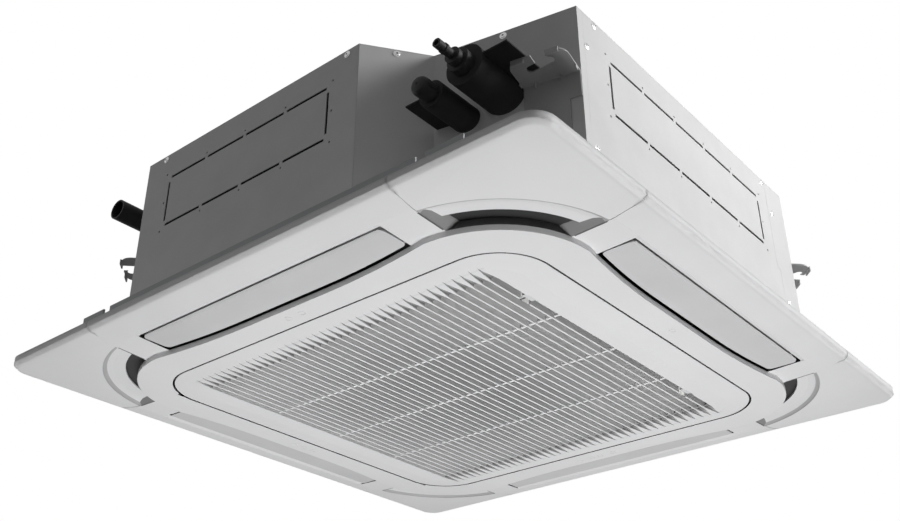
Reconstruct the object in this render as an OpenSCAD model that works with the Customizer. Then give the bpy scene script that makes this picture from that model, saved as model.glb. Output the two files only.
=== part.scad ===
// Ceiling cassette air conditioner: a sheet metal body that hangs above the ceiling, and a
// square panel below it with an intake grille in the middle and four swing flaps round it.
// X runs along the panel's front edge, Y to the back, Z up. The origin is the panel's centre on
// the plane of its rim's top edge, which meets the ceiling. The refrigerant pipes leave at the
// front right corner. Lengths are in millimetres.

/* [Body] */
// Width and depth of the sheet metal body
body_size = 840; // [830:1:850]
// Height of the body from its lower edge to its top
body_height = 288; // [284:1:300]
// How far the body's lower edge reaches down into the panel
body_drop = 8; // [7:0.5:8]
// Length that each corner chamfer takes off a side
chamfer_leg = 150; // [140:1:156]
// Thickness of the casing sheets
sheet_t = 1.2; // [0.8:0.1:1.6]
// Thickness of the foam liner on the side walls
liner_t = 20; // [15:1:22]

/* [Piping corner] */
// Distance from the right side to where the front wall turns in
recess_width = 254; // [248:1:258]
// Distance from the right side to the corner inside the recess
knee_in_x = 196; // [190:1:200]
// Distance from the front to the corner inside the recess
knee_in_y = 81; // [76:1:84]
// Distance from the front to where the recess wall meets the right side
recess_side = 121; // [116:1:124]
// Height of the gas pipe's axis
gas_z = 177; // [174:1:180]
// Distance from the right side to the gas pipe's axis
gas_in = 98.7; // [96:0.1:100]
// Outer radius of the gas pipe's insulation
gas_foam_r = 27.5; // [26:0.5:28]
// Height of the liquid pipe's axis
liquid_z = 159.6; // [156:0.1:162]
// Distance from the right side to the liquid pipe's axis
liquid_in = 150.4; // [149:0.1:153]
// Outer radius of the liquid pipe's insulation
liquid_foam_r = 18.6; // [17:0.1:19]
// Distance from the body's front to the front end of the insulation
foam_in = 22; // [18:1:30]

/* [Hanger brackets] */
// Distance from the body's side to a suspension bolt, across X
hanger_in_x = 30; // [28:1:34]
// Distance from the body's side to a suspension bolt, across Y
hanger_in_y = 80; // [76:1:82]
// Height of the hook plate's lower face
hook_z = 177; // [170:1:184]
// Width of the slot that the suspension bolt sits in
slot_w = 12; // [11:0.5:13]
// End to end length of the slot
slot_l = 38; // [34:1:40]
// Thickness of the bracket steel
bracket_t = 2; // [1.5:0.1:2.5]

/* [Panel] */
// Width and depth of the panel
panel_size = 950; // [946:1:960]
// Radius of the panel's outer corners
panel_corner_r = 30; // [26:1:34]
// Depth of the flat centre below the rim's top
panel_drop = 30.75; // [30.5:0.25:32]
// Wall thickness of the panel moulding
wall = 2.5; // [2.2:0.1:2.8]
// Width of the sloped band between the rim and the air outlets
band_w = 49.5; // [48:0.5:50.5]
// Depth of the band below the rim's top at the air outlets
band_drop = 21; // [20.5:0.25:21.5]
// Corner radius of the air outlets' outer line
recess_r = 188; // [184:1:190]
// Width of an air outlet at the middle of a side
outlet_w = 60; // [59:0.5:61]
// How much the centre's sides are drawn in at their middle
side_bow = 13.5; // [12:0.5:14]
// Corner radius of the panel's centre
centre_r = 136; // [130:1:138]
// Distance from the middle of a side to the end of an air outlet
outlet_half = 222; // [218:1:223]
// Distance from the middle of a side to a corner cover's seam
seam_at = 274; // [272:1:277]

/* [Swing flaps] */
// Thickness of a flap
flap_t = 3; // [2.5:0.1:3.2]
// Depth of a closed flap's face below the rim's top
flap_drop = 22; // [21.5:0.25:22.5]
// Radius of a flap's end pins
flap_pin_r = 2; // [1.8:0.1:2.2]

/* [Intake grille] */
// Width of the panel's flat centre round the grille
face_border = 41; // [40.5:0.5:43.5]
// Corner radius of the grille
grille_r = 75; // [72:1:78]
// Width of the plain border round the field of slats
slat_border = 60.5; // [58.5:0.5:63.5]
// Number of slots between the slats
slot_count = 40; // [36:1:42]
// How far the slats stand below the flat centre
grille_bulge = 3; // [2:0.25:3.5]

/* [Fan and coil] */
// Distance from the body's side to the coil's outer face
coil_in = 120; // [118:1:124]
// Depth of the coil through its tube rows
coil_depth = 38; // [34:1:40]
// Outer corner radius of the coil
coil_r = 80; // [76:1:84]
// Outer radius of the fan
fan_r = 235; // [230:1:238]
// Number of fan blades
blade_count = 7; // [5:1:9]
// Radius of the fan shaft
shaft_r = 6; // [5:0.5:7]

/* [Hidden] */
$fn = 64;

// Seat clearance between a piece and what carries it
seat = 0.3;
// Radial clearance of a pin in its bore
running = 0.05;
// Overrun of every cut
over = 1;
steel = "#8c8f92";
plastic = "#e6e7e8";
black = "#1d1d1d";

// Plan of the body, counterclockwise from the front left
half = body_size / 2;
body_top = body_height - body_drop;
wall_top = body_top - sheet_t;
flat_half = half - chamfer_leg;
return_w = 12;
body_points = [
    [-flat_half, -half],
    [half - recess_width, -half],
    [half - knee_in_x, knee_in_y - half],
    [half, recess_side - half],
    [half, recess_side - half + return_w],
    [half, flat_half],
    [flat_half, half],
    [-flat_half, half],
    [-half, flat_half],
    [-half, -flat_half]
];
FRONT = 0;
INNER_WALL = 1;
OUTER_WALL = 2;
RETURN = 3;
RIGHT = 4;
BACK_RIGHT = 5;
BACK = 6;
FRONT_LEFT = len(body_points) - 1;
LEFT = FRONT_LEFT - 1;
BACK_LEFT = LEFT - 1;

function unit(v) = v / norm(v);
function next(i) = (i + 1) % len(body_points);
function before(i) = (i + len(body_points) - 1) % len(body_points);
function along(i) = unit(body_points[next(i)] - body_points[i]);
function outward(i) = [along(i)[1], -along(i)[0]];
// Body corner i moved inwards by d from both of its walls
function inner(i, d) =
    body_points[i] - (outward(before(i)) + outward(i)) * d / (1 + outward(before(i)) * outward(i));
function bends(i) = abs(cross(along(before(i)), along(i))) > 0;
function inner_outline(d) = [for (i = [0:len(body_points) - 1]) if (bends(i)) inner(i, d)];
function wall_length(i) = norm(body_points[next(i)] - body_points[i]);
function wall_angle(i) = atan2(along(i)[1], along(i)[0]);

// Local frame on wall i: X runs along it, minus Y points out of the body
module on_wall(i, s, z = 0) {
    p = body_points[i] + along(i) * s;
    translate([p[0], p[1], z]) rotate([0, 0, wall_angle(i)]) children();
}

// Square with rounded corners, made of exact arcs
module rounded_square(h, r) {
    square([2 * h, 2 * (h - r)], center = true);
    square([2 * (h - r), 2 * h], center = true);
    for (x = [-1, 1], y = [-1, 1]) translate([x, y] * (h - r)) circle(r, $fn = 96);
}

// Solid cylinder lying along X between x0 and x1
module rod_x(r, x0, x1) {
    translate([x0, 0, 0]) rotate([0, 90, 0]) cylinder(r = r, h = x1 - x0);
}

// Solid cylinder lying along Y between y0 and y1
module rod_y(r, y0, y1) {
    translate([0, y0, 0]) rotate([-90, 0, 0]) cylinder(r = r, h = y1 - y0);
}

// Round tube through a list of points, with ball elbows
module bent_rod(r, points) {
    for (i = [0:len(points) - 2]) {
        d = points[i + 1] - points[i];
        translate(points[i]) rotate([0, acos(d[2] / norm(d)), atan2(d[1], d[0])])
            cylinder(r = r, h = norm(d));
        if (i > 0) translate(points[i]) sphere(r, $fn = 32);
    }
}

// The front's geometry repeated on side i: 0 front, 1 right, 2 back, 3 left
module on_side(i) {
    rotate([0, 0, 90 * i]) children();
}

// Casing

screw_drop = 7;
screw_in = 41;
screw_near_end = 21;
screw_low_z = 77;
screw_mid_z = 227;
screw_top_near = 27;
screw_top_far = 65;
screw_mid_near = 6;
screw_mid_far = 44;
screw_low_near = 11;
screw_low_far = 36;
screw_r = 1.9;
screw_l = 8;
screw_hole_r = 2.1;
screw_head_r = 5;
screw_head_h = 1.8;
screw_z = body_top - screw_drop;
right_l = wall_length(RIGHT);
screws = concat(
    [[FRONT, screw_in, screw_z], [FRONT, wall_length(FRONT) - screw_near_end, screw_z]],
    [for (i = [INNER_WALL, OUTER_WALL, BACK_RIGHT, BACK_LEFT, FRONT_LEFT])
        [i, wall_length(i) / 2, screw_z]],
    [for (i = [BACK, LEFT]) for (s = [screw_in, wall_length(i) - screw_in]) [i, s, screw_z]],
    [[RIGHT, screw_top_near, screw_z], [RIGHT, right_l - screw_top_far, screw_z],
     [RIGHT, screw_mid_near, screw_mid_z], [RIGHT, right_l - screw_mid_far, screw_mid_z],
     [RIGHT, screw_low_near, screw_low_z], [RIGHT, right_l - screw_low_far, screw_low_z]]
);

module screw_holes(i, r, depth) {
    for (s = screws) if (s[0] == i) on_wall(i, s[1], s[2]) rod_y(r, -over, depth);
}

module casing_wall(i) {
    difference() {
        translate([0, 0, -body_drop]) linear_extrude(wall_top + body_drop) polygon([
            body_points[i], body_points[next(i)], inner(next(i), sheet_t), inner(i, sheet_t)
        ]);
        screw_holes(i, screw_hole_r, 2 * sheet_t);
    }
}

// Seam on the right side: past it the wall belongs to the back right corner's sheet
seam_in = 57;
seam_step = 9;
seam_step_z = 128;

module past_seam(gap) {
    translate([0, flat_half - seam_in + gap, seam_step_z + gap])
        cube([body_size, body_size, body_size]);
    translate([0, flat_half - seam_in + seam_step + gap, -body_size])
        cube([body_size, body_size, 2 * body_size]);
}

// Knock-out for an air duct: a frame of slots in the sheet, with a small hole at each corner
knock_pitch = 81.5;
knock_bridge = 6;
knock_slot = 4;
knock_z = 194;
knock_start = 57;
knock_side_slot = 66;
knock_dot_out = 8;
knock_dot_r = 1.5;

module knock_out(i, count) {
    on_wall(i, knock_start, knock_z) {
        for (k = [0:count - 1], z = [-1, 1]) translate([k * knock_pitch, -over, z * knock_pitch / 2])
            translate([knock_bridge / 2, 0, -knock_slot / 2])
                cube([knock_pitch - knock_bridge, 2 * over + sheet_t, knock_slot]);
        for (k = [0, count])
            translate([k * knock_pitch - knock_slot / 2, -over, -knock_side_slot / 2])
                cube([knock_slot, 2 * over + sheet_t, knock_side_slot]);
        for (k = [0:count], z = [-1, 0, 1]) {
            side = k == 0 ? -1 : k == count ? 1 : 0;
            x = k * knock_pitch + side * knock_dot_out;
            if (side != 0 || z != 0) translate([x, 0, z * (knock_pitch / 2 + knock_dot_out)])
                rod_y(knock_dot_r, -over, sheet_t + over);
        }
    }
}

// Threaded tab under each straight side that the panel is screwed to
tab_at = 246;
tab_in = 20;
tab_w = 24;
tab_l = 30;
tab_hole_r = 2.6;

module panel_tab() {
    difference() {
        translate([-tab_at - tab_w / 2, sheet_t - half, -body_drop])
            cube([tab_w, tab_l - sheet_t, sheet_t]);
        translate([-tab_at, tab_in - half, -body_drop - over])
            cylinder(r = tab_hole_r, h = sheet_t + 2 * over);
    }
}

module top_plate() {
    color(steel) translate([0, 0, wall_top]) linear_extrude(sheet_t) polygon(body_points);
}

module front_plate() {
    color(steel) {
        difference() {
            casing_wall(FRONT);
            knock_out(FRONT, 4);
        }
        on_side(0) panel_tab();
    }
}

module right_plate() {
    color(steel) {
        difference() {
            casing_wall(RIGHT);
            knock_out(RIGHT, 5);
            past_seam(0);
        }
        on_side(1) panel_tab();
    }
}

module back_plate() {
    color(steel) {
        casing_wall(BACK);
        on_side(2) panel_tab();
    }
}

module left_plate() {
    color(steel) {
        casing_wall(LEFT);
        on_side(3) panel_tab();
    }
}

module back_right_corner_plate() {
    color(steel) {
        casing_wall(BACK_RIGHT);
        intersection() {
            casing_wall(RIGHT);
            past_seam(seat);
        }
    }
}

module back_left_corner_plate() {
    color(steel) casing_wall(BACK_LEFT);
}

module front_left_corner_plate() {
    color(steel) difference() {
        casing_wall(FRONT_LEFT);
        translate([drain_x, 0, drain_z]) rod_y(drain_r + seat, -half, 0);
    }
}

module piping_corner_plate() {
    color(steel) difference() {
        union() {
            casing_wall(INNER_WALL);
            casing_wall(OUTER_WALL);
            casing_wall(RETURN);
        }
        translate([gas_x, 0, gas_z]) rod_y(gas_r + seat, -half, 0);
        translate([liquid_x, 0, liquid_z]) rod_y(liquid_r + seat, -half, 0);
    }
}

// Foam liner on the inside of the walls and under the top plate
coil_half = half - coil_in;
pan_top = 24;
coil_bottom = 12;
coil_h = 250;
coil_top = coil_bottom + coil_h;
motor_hole_r = 112;
screw_pocket_r = 3;

module foam_liner() {
    color("#f2f2ee") difference() {
        translate([0, 0, pan_top]) linear_extrude(wall_top - pan_top)
            polygon(inner_outline(sheet_t + seat));
        translate([0, 0, pan_top - over]) linear_extrude(coil_top - pan_top + over)
            polygon(inner_outline(sheet_t + seat + liner_t));
        translate([0, 0, coil_top - over]) cylinder(r = motor_hole_r, h = body_height);
        for (i = [0:len(body_points) - 1]) screw_holes(i, screw_pocket_r, screw_l + over);
        translate([gas_x, 0, gas_z]) rod_y(gas_r + over, -half, -flat_half + chamfer_leg / 3);
        translate([liquid_x, 0, liquid_z]) rod_y(liquid_r + over, -half, -flat_half + chamfer_leg / 3);
        translate([drain_x, 0, drain_z]) rod_y(drain_r + over, -half, -flat_half);
    }
}

module casing_screws() {
    color("#dcdfe2") for (s = screws) on_wall(s[0], s[1], s[2]) {
        rod_y(screw_r, -screw_head_h / 2, screw_l);
        rotate([90, 0, 0])
            cylinder(r1 = screw_head_r, r2 = screw_head_r - screw_head_h / 2, h = screw_head_h);
    }
}

// Hanger brackets: a sheet on the casing's corner wall, folded out into a hook plate whose slot
// takes the suspension bolt through an open mouth
hanger_x = half - hanger_in_x;
hanger_y = half - hanger_in_y;
hook_w = 74;
hook_out = 20;
hook_lobe_r = 18;
mouth_w = 18;
mouth_shift = 4;
lip_h = 8;
lip_w = 16;
lip_in = 3;
bracket_h = 100;
step_h = 38;
step_in = 15;

// Distance along wall i of the foot of point p, and p's distance out of the wall
function foot(i, p) = (p - body_points[i]) * along(i);
function out_of(i, p) = (p - body_points[i]) * outward(i);

module hanger(i, sx, sy) {
    bolt = [sx * hanger_x, sy * hanger_y];
    reach = out_of(i, bolt);
    lobe_x = hook_w / 2 - hook_lobe_r;
    color(steel) difference() {
        on_wall(i, foot(i, bolt), hook_z) {
            translate([-hook_w / 2, -bracket_t, bracket_t - step_h]) cube([hook_w, bracket_t, step_h]);
            translate([-hook_w / 2, -bracket_t, bracket_t - bracket_h])
                cube([hook_w - step_in, bracket_t, bracket_h]);
            linear_extrude(bracket_t) difference() {
                union() {
                    translate([-hook_w / 2, -reach]) square([hook_w, reach]);
                    translate([-lobe_x, -reach - hook_out]) square([2 * lobe_x, reach + hook_out]);
                    for (x = [-1, 1]) translate([x * lobe_x, hook_lobe_r - reach - hook_out])
                        circle(hook_lobe_r);
                }
                translate([mouth_shift - mouth_w / 2, -reach - 2 * hook_out])
                    square([mouth_w, 2 * hook_out]);
            }
            for (x = [-1, 1]) translate([x * (lobe_x + lip_in) - lip_w / 2, -reach - hook_out, 0])
                translate([0, 0, bracket_t - lip_h]) cube([lip_w, bracket_t, lip_h]);
        }
        translate([bolt[0], bolt[1], hook_z - over]) linear_extrude(bracket_t + 2 * over) {
            square([slot_l - slot_w, slot_w], center = true);
            for (x = [-1, 1]) translate([x * (slot_l - slot_w) / 2, 0]) circle(slot_w / 2);
        }
    }
}

module front_right_hanger() {
    hanger(OUTER_WALL, 1, -1);
}

module back_right_hanger() {
    hanger(BACK_RIGHT, 1, 1);
}

module back_left_hanger() {
    hanger(BACK_LEFT, -1, 1);
}

module front_left_hanger() {
    hanger(FRONT_LEFT, -1, -1);
}

// Fan and motor

motor_r = 72;
motor_bottom = 208;
motor_top = 266;
motor_ear_r = 98;
motor_ear_w = 26;
motor_ear_t = 3;
motor_ear_at = 88;
mount_r = 9;
mount_stud_r = 3;
shaft_bottom = 84;
shaft_top = 240;
hub_plate_z = 212;
hub_plate_t = 3;
dome_r = 96;
hub_r = 22;
hub_z = 96;
hub_h = 28;
blade_bottom = 58;
blade_inner_r = 168;
blade_arc_r = 140;
blade_arc_at = 100;
blade_t = 4;
shroud_z = 50;
shroud_inlet_r = 190;
shroud_h = 38;
shroud_t = 2.5;
nut_r = 10;
nut_h = 8;

module fan_motor() {
    color("#3c4044") difference() {
        union() {
            translate([0, 0, motor_bottom]) cylinder(r = motor_r, h = motor_top - motor_bottom);
            for (k = [0:2]) rotate([0, 0, 120 * k])
                translate([0, -motor_ear_w / 2, motor_top - motor_ear_t])
                    cube([motor_ear_r, motor_ear_w, motor_ear_t]);
        }
        translate([0, 0, motor_bottom - over])
            cylinder(r = shaft_r + running, h = shaft_top + seat + over - motor_bottom);
        for (k = [0:2]) rotate([0, 0, 120 * k])
            translate([motor_ear_at, 0, motor_top - motor_ear_t - over])
                cylinder(r = mount_stud_r + seat, h = motor_ear_t + 2 * over);
    }
}

module motor_mounts() {
    color(black) for (k = [0:2]) rotate([0, 0, 120 * k]) translate([motor_ear_at, 0, 0]) {
        translate([0, 0, motor_top]) cylinder(r = mount_r, h = wall_top - motor_top);
        translate([0, 0, motor_top - 2 * motor_ear_t]) cylinder(r = mount_stud_r, h = 3 * motor_ear_t);
        translate([0, 0, motor_top - 2 * motor_ear_t]) cylinder(r = 2 * mount_stud_r, h = motor_ear_t);
    }
}

module motor_shaft() {
    color("#b9bdc1") translate([0, 0, shaft_bottom]) cylinder(r = shaft_r, h = shaft_top - shaft_bottom);
}

module blade() {
    linear_extrude(hub_plate_z + over - blade_bottom) intersection() {
        translate([blade_arc_at, 0]) difference() {
            circle(blade_arc_r);
            circle(blade_arc_r - blade_t);
        }
        difference() {
            circle(fan_r - seat);
            circle(blade_inner_r);
        }
        square(2 * fan_r);
    }
}

module turbo_fan() {
    color("#2b2e31") {
        rotate_extrude() polygon([
            [shaft_r, hub_z], [hub_r + hub_plate_t, hub_z], [dome_r + hub_plate_t, hub_plate_z],
            [fan_r, hub_plate_z], [fan_r, hub_plate_z + hub_plate_t], [dome_r, hub_plate_z + hub_plate_t],
            [hub_r, hub_z + hub_plate_t], [hub_r, hub_z + hub_h], [shaft_r, hub_z + hub_h]
        ]);
        intersection() {
            for (k = [0:blade_count - 1]) rotate([0, 0, 360 * k / blade_count])
                translate([0, 0, blade_bottom]) blade();
            rotate_extrude() polygon([
                [blade_inner_r - over, blade_bottom], [shroud_inlet_r + 3 * shroud_t / 2, blade_bottom],
                [shroud_inlet_r + 7 * shroud_t / 2, shroud_z + (shroud_h + shroud_t) / 2],
                [fan_r + over, shroud_z + shroud_h + shroud_t / 2], [fan_r + over, hub_plate_z + over],
                [blade_inner_r - over, hub_plate_z + over]
            ]);
        }
        rotate_extrude() polygon([
            [shroud_inlet_r, shroud_z], [shroud_inlet_r + shroud_t, shroud_z],
            [shroud_inlet_r + 4 * shroud_t, shroud_z + shroud_h / 2], [fan_r, shroud_z + shroud_h],
            [fan_r, shroud_z + shroud_h + shroud_t],
            [shroud_inlet_r + 3 * shroud_t, shroud_z + shroud_h / 2 + shroud_t]
        ]);
    }
}

module fan_nut() {
    color("#b9bdc1") difference() {
        translate([0, 0, hub_z - nut_h]) cylinder(r = nut_r, h = nut_h, $fn = 6);
        translate([0, 0, hub_z - nut_h - over]) cylinder(r = shaft_r, h = nut_h + 2 * over);
    }
}

// Heat exchanger: a bent ring of fins and tubes, open at the piping corner

coil_open = 85;
coil_in_half = coil_half - coil_depth;
coil_end = coil_half - coil_open;
fin_pitch = 10;
fin_t = 1;
fin_in = 2;
tube_r = 4.8;
tube_rows = 8;
tube_pitch = coil_h / tube_rows;
tube_line = coil_half - coil_depth / 2;
bend_r = coil_r - coil_depth / 2;
end_plate_t = 1.5;
fin_span = coil_half - coil_r;

function tube_z(k) = coil_bottom + tube_pitch * (k + 1 / 2);

module coil_fins() {
    color("#c9ced2") translate([0, 0, coil_bottom]) linear_extrude(coil_h) {
        for (i = [2, 3]) rotate(90 * i) for (x = [-fin_span : fin_pitch : fin_span])
            translate([x, -coil_half + fin_in]) square([fin_t, coil_depth - 2 * fin_in]);
        for (x = [-fin_span : fin_pitch : coil_end - 2 * fin_t])
            translate([x, -coil_half + fin_in]) square([fin_t, coil_depth - 2 * fin_in]);
        rotate(90) for (x = [-coil_end + 2 * fin_t : fin_pitch : fin_span])
            translate([x, -coil_half + fin_in]) square([fin_t, coil_depth - 2 * fin_in]);
        for (k = [0:2]) rotate(90 * k) translate([fin_span, fin_span])
            for (a = [5 : 10 : 85]) rotate(a) translate([bend_r - coil_depth / 2 + fin_in, 0])
                square([coil_depth - 2 * fin_in, fin_t]);
    }
}

module coil_tube(z) {
    translate([0, 0, z]) {
        translate([0, -tube_line, 0]) rod_x(tube_r, -fin_span, coil_end + 2 * end_plate_t);
        translate([-tube_line, 0, 0]) rod_y(tube_r, -fin_span, fin_span);
        translate([0, tube_line, 0]) rod_x(tube_r, -fin_span, fin_span);
        translate([tube_line, 0, 0]) rod_y(tube_r, -coil_end - 2 * end_plate_t, fin_span);
        for (k = [0:2]) rotate([0, 0, 90 * k]) translate([fin_span, fin_span, 0])
            rotate_extrude(angle = 90) translate([bend_r, 0]) circle(tube_r, $fn = 32);
    }
}

// Return bend between two rows, bulging along X
module return_bend() {
    rotate([90, 0, 0]) rotate([0, 0, -90]) rotate_extrude(angle = 180)
        translate([tube_pitch / 2, 0]) circle(tube_r, $fn = 32);
}

module coil_tubes() {
    color("#b87a4a") {
        for (k = [0:tube_rows - 1]) coil_tube(tube_z(k));
        for (k = [0:2:tube_rows - 2])
            translate([coil_end + 2 * end_plate_t, -tube_line, tube_z(k) + tube_pitch / 2]) return_bend();
        for (k = [1:2:tube_rows - 2])
            translate([tube_line, -coil_end - 2 * end_plate_t, tube_z(k) + tube_pitch / 2])
                rotate([0, 0, -90]) return_bend();
    }
}

module coil_end_plates() {
    color(steel) {
        translate([coil_end, -coil_half, coil_bottom]) cube([end_plate_t, coil_depth, coil_h]);
        translate([coil_in_half, -coil_end - end_plate_t, coil_bottom])
            cube([coil_depth, end_plate_t, coil_h]);
    }
}

// Pipes of the piping corner

gas_x = half - gas_in;
gas_r = 8;
liquid_x = half - liquid_in;
liquid_r = 4.8;
foam_front = foam_in - half;
pipe_stub = 12;
pipe_front = foam_front - pipe_stub;
gas_riser_out = 40;
liquid_riser_out = 31;
riser_y = -coil_end - gas_riser_out;
liquid_riser_y = -coil_end - liquid_riser_out;
foam_wing_t = 2;
gas_wing = 62.7;
liquid_wing = 40.6;
gas_top_z = tube_z(tube_rows - 1);

module gas_pipe() {
    color("#b87a4a") bent_rod(gas_r, [
        [tube_line, -coil_end - 2 * end_plate_t, gas_top_z],
        [tube_line, riser_y, gas_top_z],
        [tube_line, riser_y, gas_z],
        [gas_x, riser_y, gas_z],
        [gas_x, pipe_front, gas_z]
    ]);
}

module liquid_pipe() {
    color("#b87a4a") bent_rod(liquid_r, [
        [tube_line, -coil_end - 2 * end_plate_t, tube_z(0)],
        [tube_line, liquid_riser_y, tube_z(0)],
        [tube_line, liquid_riser_y, liquid_z],
        [liquid_x, liquid_riser_y, liquid_z],
        [liquid_x, pipe_front, liquid_z]
    ]);
}

// Foam sleeve round a pipe, with the flat seam of its sheet standing out on one side
module pipe_foam(x, z, outer_r, pipe_r, wing_x, wing_z) {
    difference() {
        union() {
            translate([x, 0, z]) rod_y(outer_r, foam_front, 0);
            translate([min(x, wing_x), foam_front, wing_z])
                cube([abs(wing_x - x), half, foam_wing_t]);
        }
        translate([x, 0, z]) rod_y(pipe_r, foam_front - over, over);
        translate([0, 0, -over]) linear_extrude(body_height) polygon(inner_outline(-seat));
        translate([-half, -flat_half - return_w, -over]) cube([2 * half, half, body_height]);
    }
}

module gas_pipe_insulation() {
    color(black) difference() {
        pipe_foam(gas_x, gas_z, gas_foam_r, gas_r, gas_x + gas_wing, hook_z + bracket_t);
        on_wall(OUTER_WALL, foot(OUTER_WALL, [hanger_x, -hanger_y]), hook_z)
            translate([-hook_w / 2 - seat, -half, -bracket_h])
                cube([2 * hook_w, half, bracket_h + bracket_t]);
    }
}

module liquid_pipe_insulation() {
    color(black) pipe_foam(
        liquid_x, liquid_z, liquid_foam_r, liquid_r, liquid_x - liquid_wing, liquid_z - foam_wing_t / 2
    );
}

// Transport caps on the pipe ends
gas_cap_r = 16;
gas_cap_l = 13;
gas_neck_r = 11;
gas_neck_l = 10;
gas_nipple_r = 6;
gas_nipple_l = 28;
gas_collar_r = 7;
gas_collar_l = 4;
gas_collar_at = 12;
liquid_cap_r = 13;
liquid_cap_l = 26;
liquid_cap_front = 3;
cap_groove = 1.2;
gas_cap_back = foam_front;
nipple_back = gas_cap_back - gas_cap_l - gas_neck_l;

module gas_pipe_cap() {
    color(black) difference() {
        translate([gas_x, 0, gas_z]) {
            rod_y(gas_cap_r, gas_cap_back - gas_cap_l, gas_cap_back);
            rod_y(gas_neck_r, nipple_back, gas_cap_back);
            rod_y(gas_nipple_r, nipple_back - gas_nipple_l, gas_cap_back);
            rod_y(gas_collar_r, nipple_back - gas_collar_at - gas_collar_l, nipple_back - gas_collar_at);
        }
        translate([gas_x, 0, gas_z]) rod_y(gas_r, pipe_front, half);
        translate([gas_x, 0, gas_z]) rod_y(gas_nipple_r - wall, -body_size, pipe_front + over);
    }
}

module liquid_pipe_cap() {
    color(black) difference() {
        translate([liquid_x, 0, liquid_z]) {
            rod_y(liquid_cap_r, gas_cap_back - liquid_cap_l + liquid_cap_front, gas_cap_back);
            translate([0, gas_cap_back - liquid_cap_l + liquid_cap_front, 0]) rotate([90, 0, 0])
                cylinder(r1 = liquid_cap_r, r2 = liquid_cap_r - liquid_cap_front, h = liquid_cap_front);
        }
        translate([liquid_x, 0, liquid_z]) rod_y(liquid_r, pipe_front, half);
        for (a = [-20, 15, 50]) translate([liquid_x, 0, liquid_z]) rotate([0, -a, 0])
            translate([liquid_cap_r - cap_groove, gas_cap_back - liquid_cap_l - over, -cap_groove / 2])
                cube([2 * cap_groove, liquid_cap_l / 2 + over, cap_groove]);
    }
}

// Drain pan: the foam tray under the coil, with the four air outlets through it

groove_gap = 6;
pan_hole = 240;
pan_rebate = 248;
pan_rebate_z = 14;
pan_hole_r = 60;
outlet_in_near = 18;
outlet_in_far = 70;
pan_outlet_half = 225;
sump_r = 34;
float_pocket_r = 16;
pump_out = 3;
float_out = 22;
float_past = 42;
pump_at = coil_half + pump_out;
float_x = -coil_half - float_out;
float_y = -coil_half + float_past;
motor_notch = 2;

module drain_pan() {
    color("#e9e9e4") difference() {
        translate([0, 0, -body_drop]) linear_extrude(pan_top + body_drop)
            polygon(inner_outline(sheet_t + seat));
        translate([0, 0, -body_drop - over]) linear_extrude(pan_top + body_drop + 2 * over) {
            rounded_square(pan_hole, pan_hole_r);
            for (i = [0:3]) rotate(90 * i)
                translate([-pan_outlet_half, outlet_in_near - half])
                    square([2 * pan_outlet_half, outlet_in_far - outlet_in_near]);
        }
        translate([0, 0, pan_rebate_z]) linear_extrude(pan_top) rounded_square(pan_rebate, pan_hole_r);
        translate([0, 0, coil_bottom]) linear_extrude(pan_top) difference() {
            rounded_square(coil_half + groove_gap, coil_r + groove_gap);
            rounded_square(coil_in_half - groove_gap, coil_r - coil_depth - groove_gap);
        }
        translate([-pump_at, -pump_at, coil_bottom]) cylinder(r = sump_r, h = pan_top);
        translate([float_x, float_y, coil_bottom]) cylinder(r = float_pocket_r, h = pan_top);
        for (i = [0:3]) on_side(i) {
            translate([-tab_at - tab_w / 2 - seat, -half, -body_drop - over])
                cube([tab_w + 2 * seat, tab_l + seat, sheet_t + seat + over]);
            translate([-tab_at, tab_in - half, -body_drop - over])
                cylinder(r = panel_screw_r + over, h = panel_screw_l);
            translate([outlet_half, -flap_axis - flap_motor_r - motor_notch, -body_drop - over])
                cube([flap_motor_l + wall + motor_notch + over, 2 * (flap_motor_r + motor_notch),
                      flap_motor_z + flap_motor_r + motor_notch + body_drop + over]);
        }
    }
}

// Pump, hose and socket that lift the water out at the front left corner
drain_r = 16;
drain_in = 79;
drain_drop = 48;
drain_x = drain_in - half;
drain_z = body_top - drain_drop;
drain_wall = 2.5;
drain_grip_l = 52;
hose_r = 10;
drain_back = 2;
drain_inner_y = -pump_at - hose_r - drain_back;
pump_r = 24;
pump_bottom = coil_bottom;
pump_h = 100;
pump_base_r = 15;
pump_base_h = 30;
pump_neck_r = 13;

module drain_pump() {
    color("#3c4044") translate([-pump_at, -pump_at, pump_bottom]) {
        cylinder(r = pump_base_r, h = pump_base_h);
        translate([0, 0, pump_base_h]) cylinder(r = pump_r, h = pump_h - pump_base_h);
        cylinder(r = pump_neck_r, h = pump_h + pump_neck_r);
    }
}

module pump_hose() {
    color("#dcdcd6") bent_rod(hose_r, [
        [-pump_at, -pump_at, pump_bottom + pump_h + pump_neck_r],
        [-pump_at, -pump_at, drain_z],
        [drain_x, -pump_at, drain_z],
        [drain_x, drain_inner_y, drain_z]
    ]);
}

module drain_socket() {
    color(black) difference() {
        translate([drain_x, 0, drain_z]) {
            rod_y(drain_r, -half, drain_grip_l - half);
            rod_y(drain_r - over, -half, drain_inner_y);
        }
        translate([drain_x, 0, drain_z])
            rod_y(drain_r - drain_wall, -half - over, drain_inner_y - drain_wall);
    }
}

// Float switch: the float rides up a stem and trips the switch in the head
stem_r = 2;
float_r = 9;
float_h = 14;
float_travel = 10;
stem_h = stem_r + float_h + float_travel + 2 * seat;
switch_w = 22;
switch_h = 12;

module float_switch() {
    color("#3c4044") translate([float_x, float_y, coil_bottom]) {
        cylinder(r = stem_r, h = stem_h);
        cylinder(r = float_r, h = stem_r);
        translate([-switch_w / 2, -switch_w / 2, stem_h]) cube([switch_w, switch_w, switch_h]);
    }
}

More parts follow.
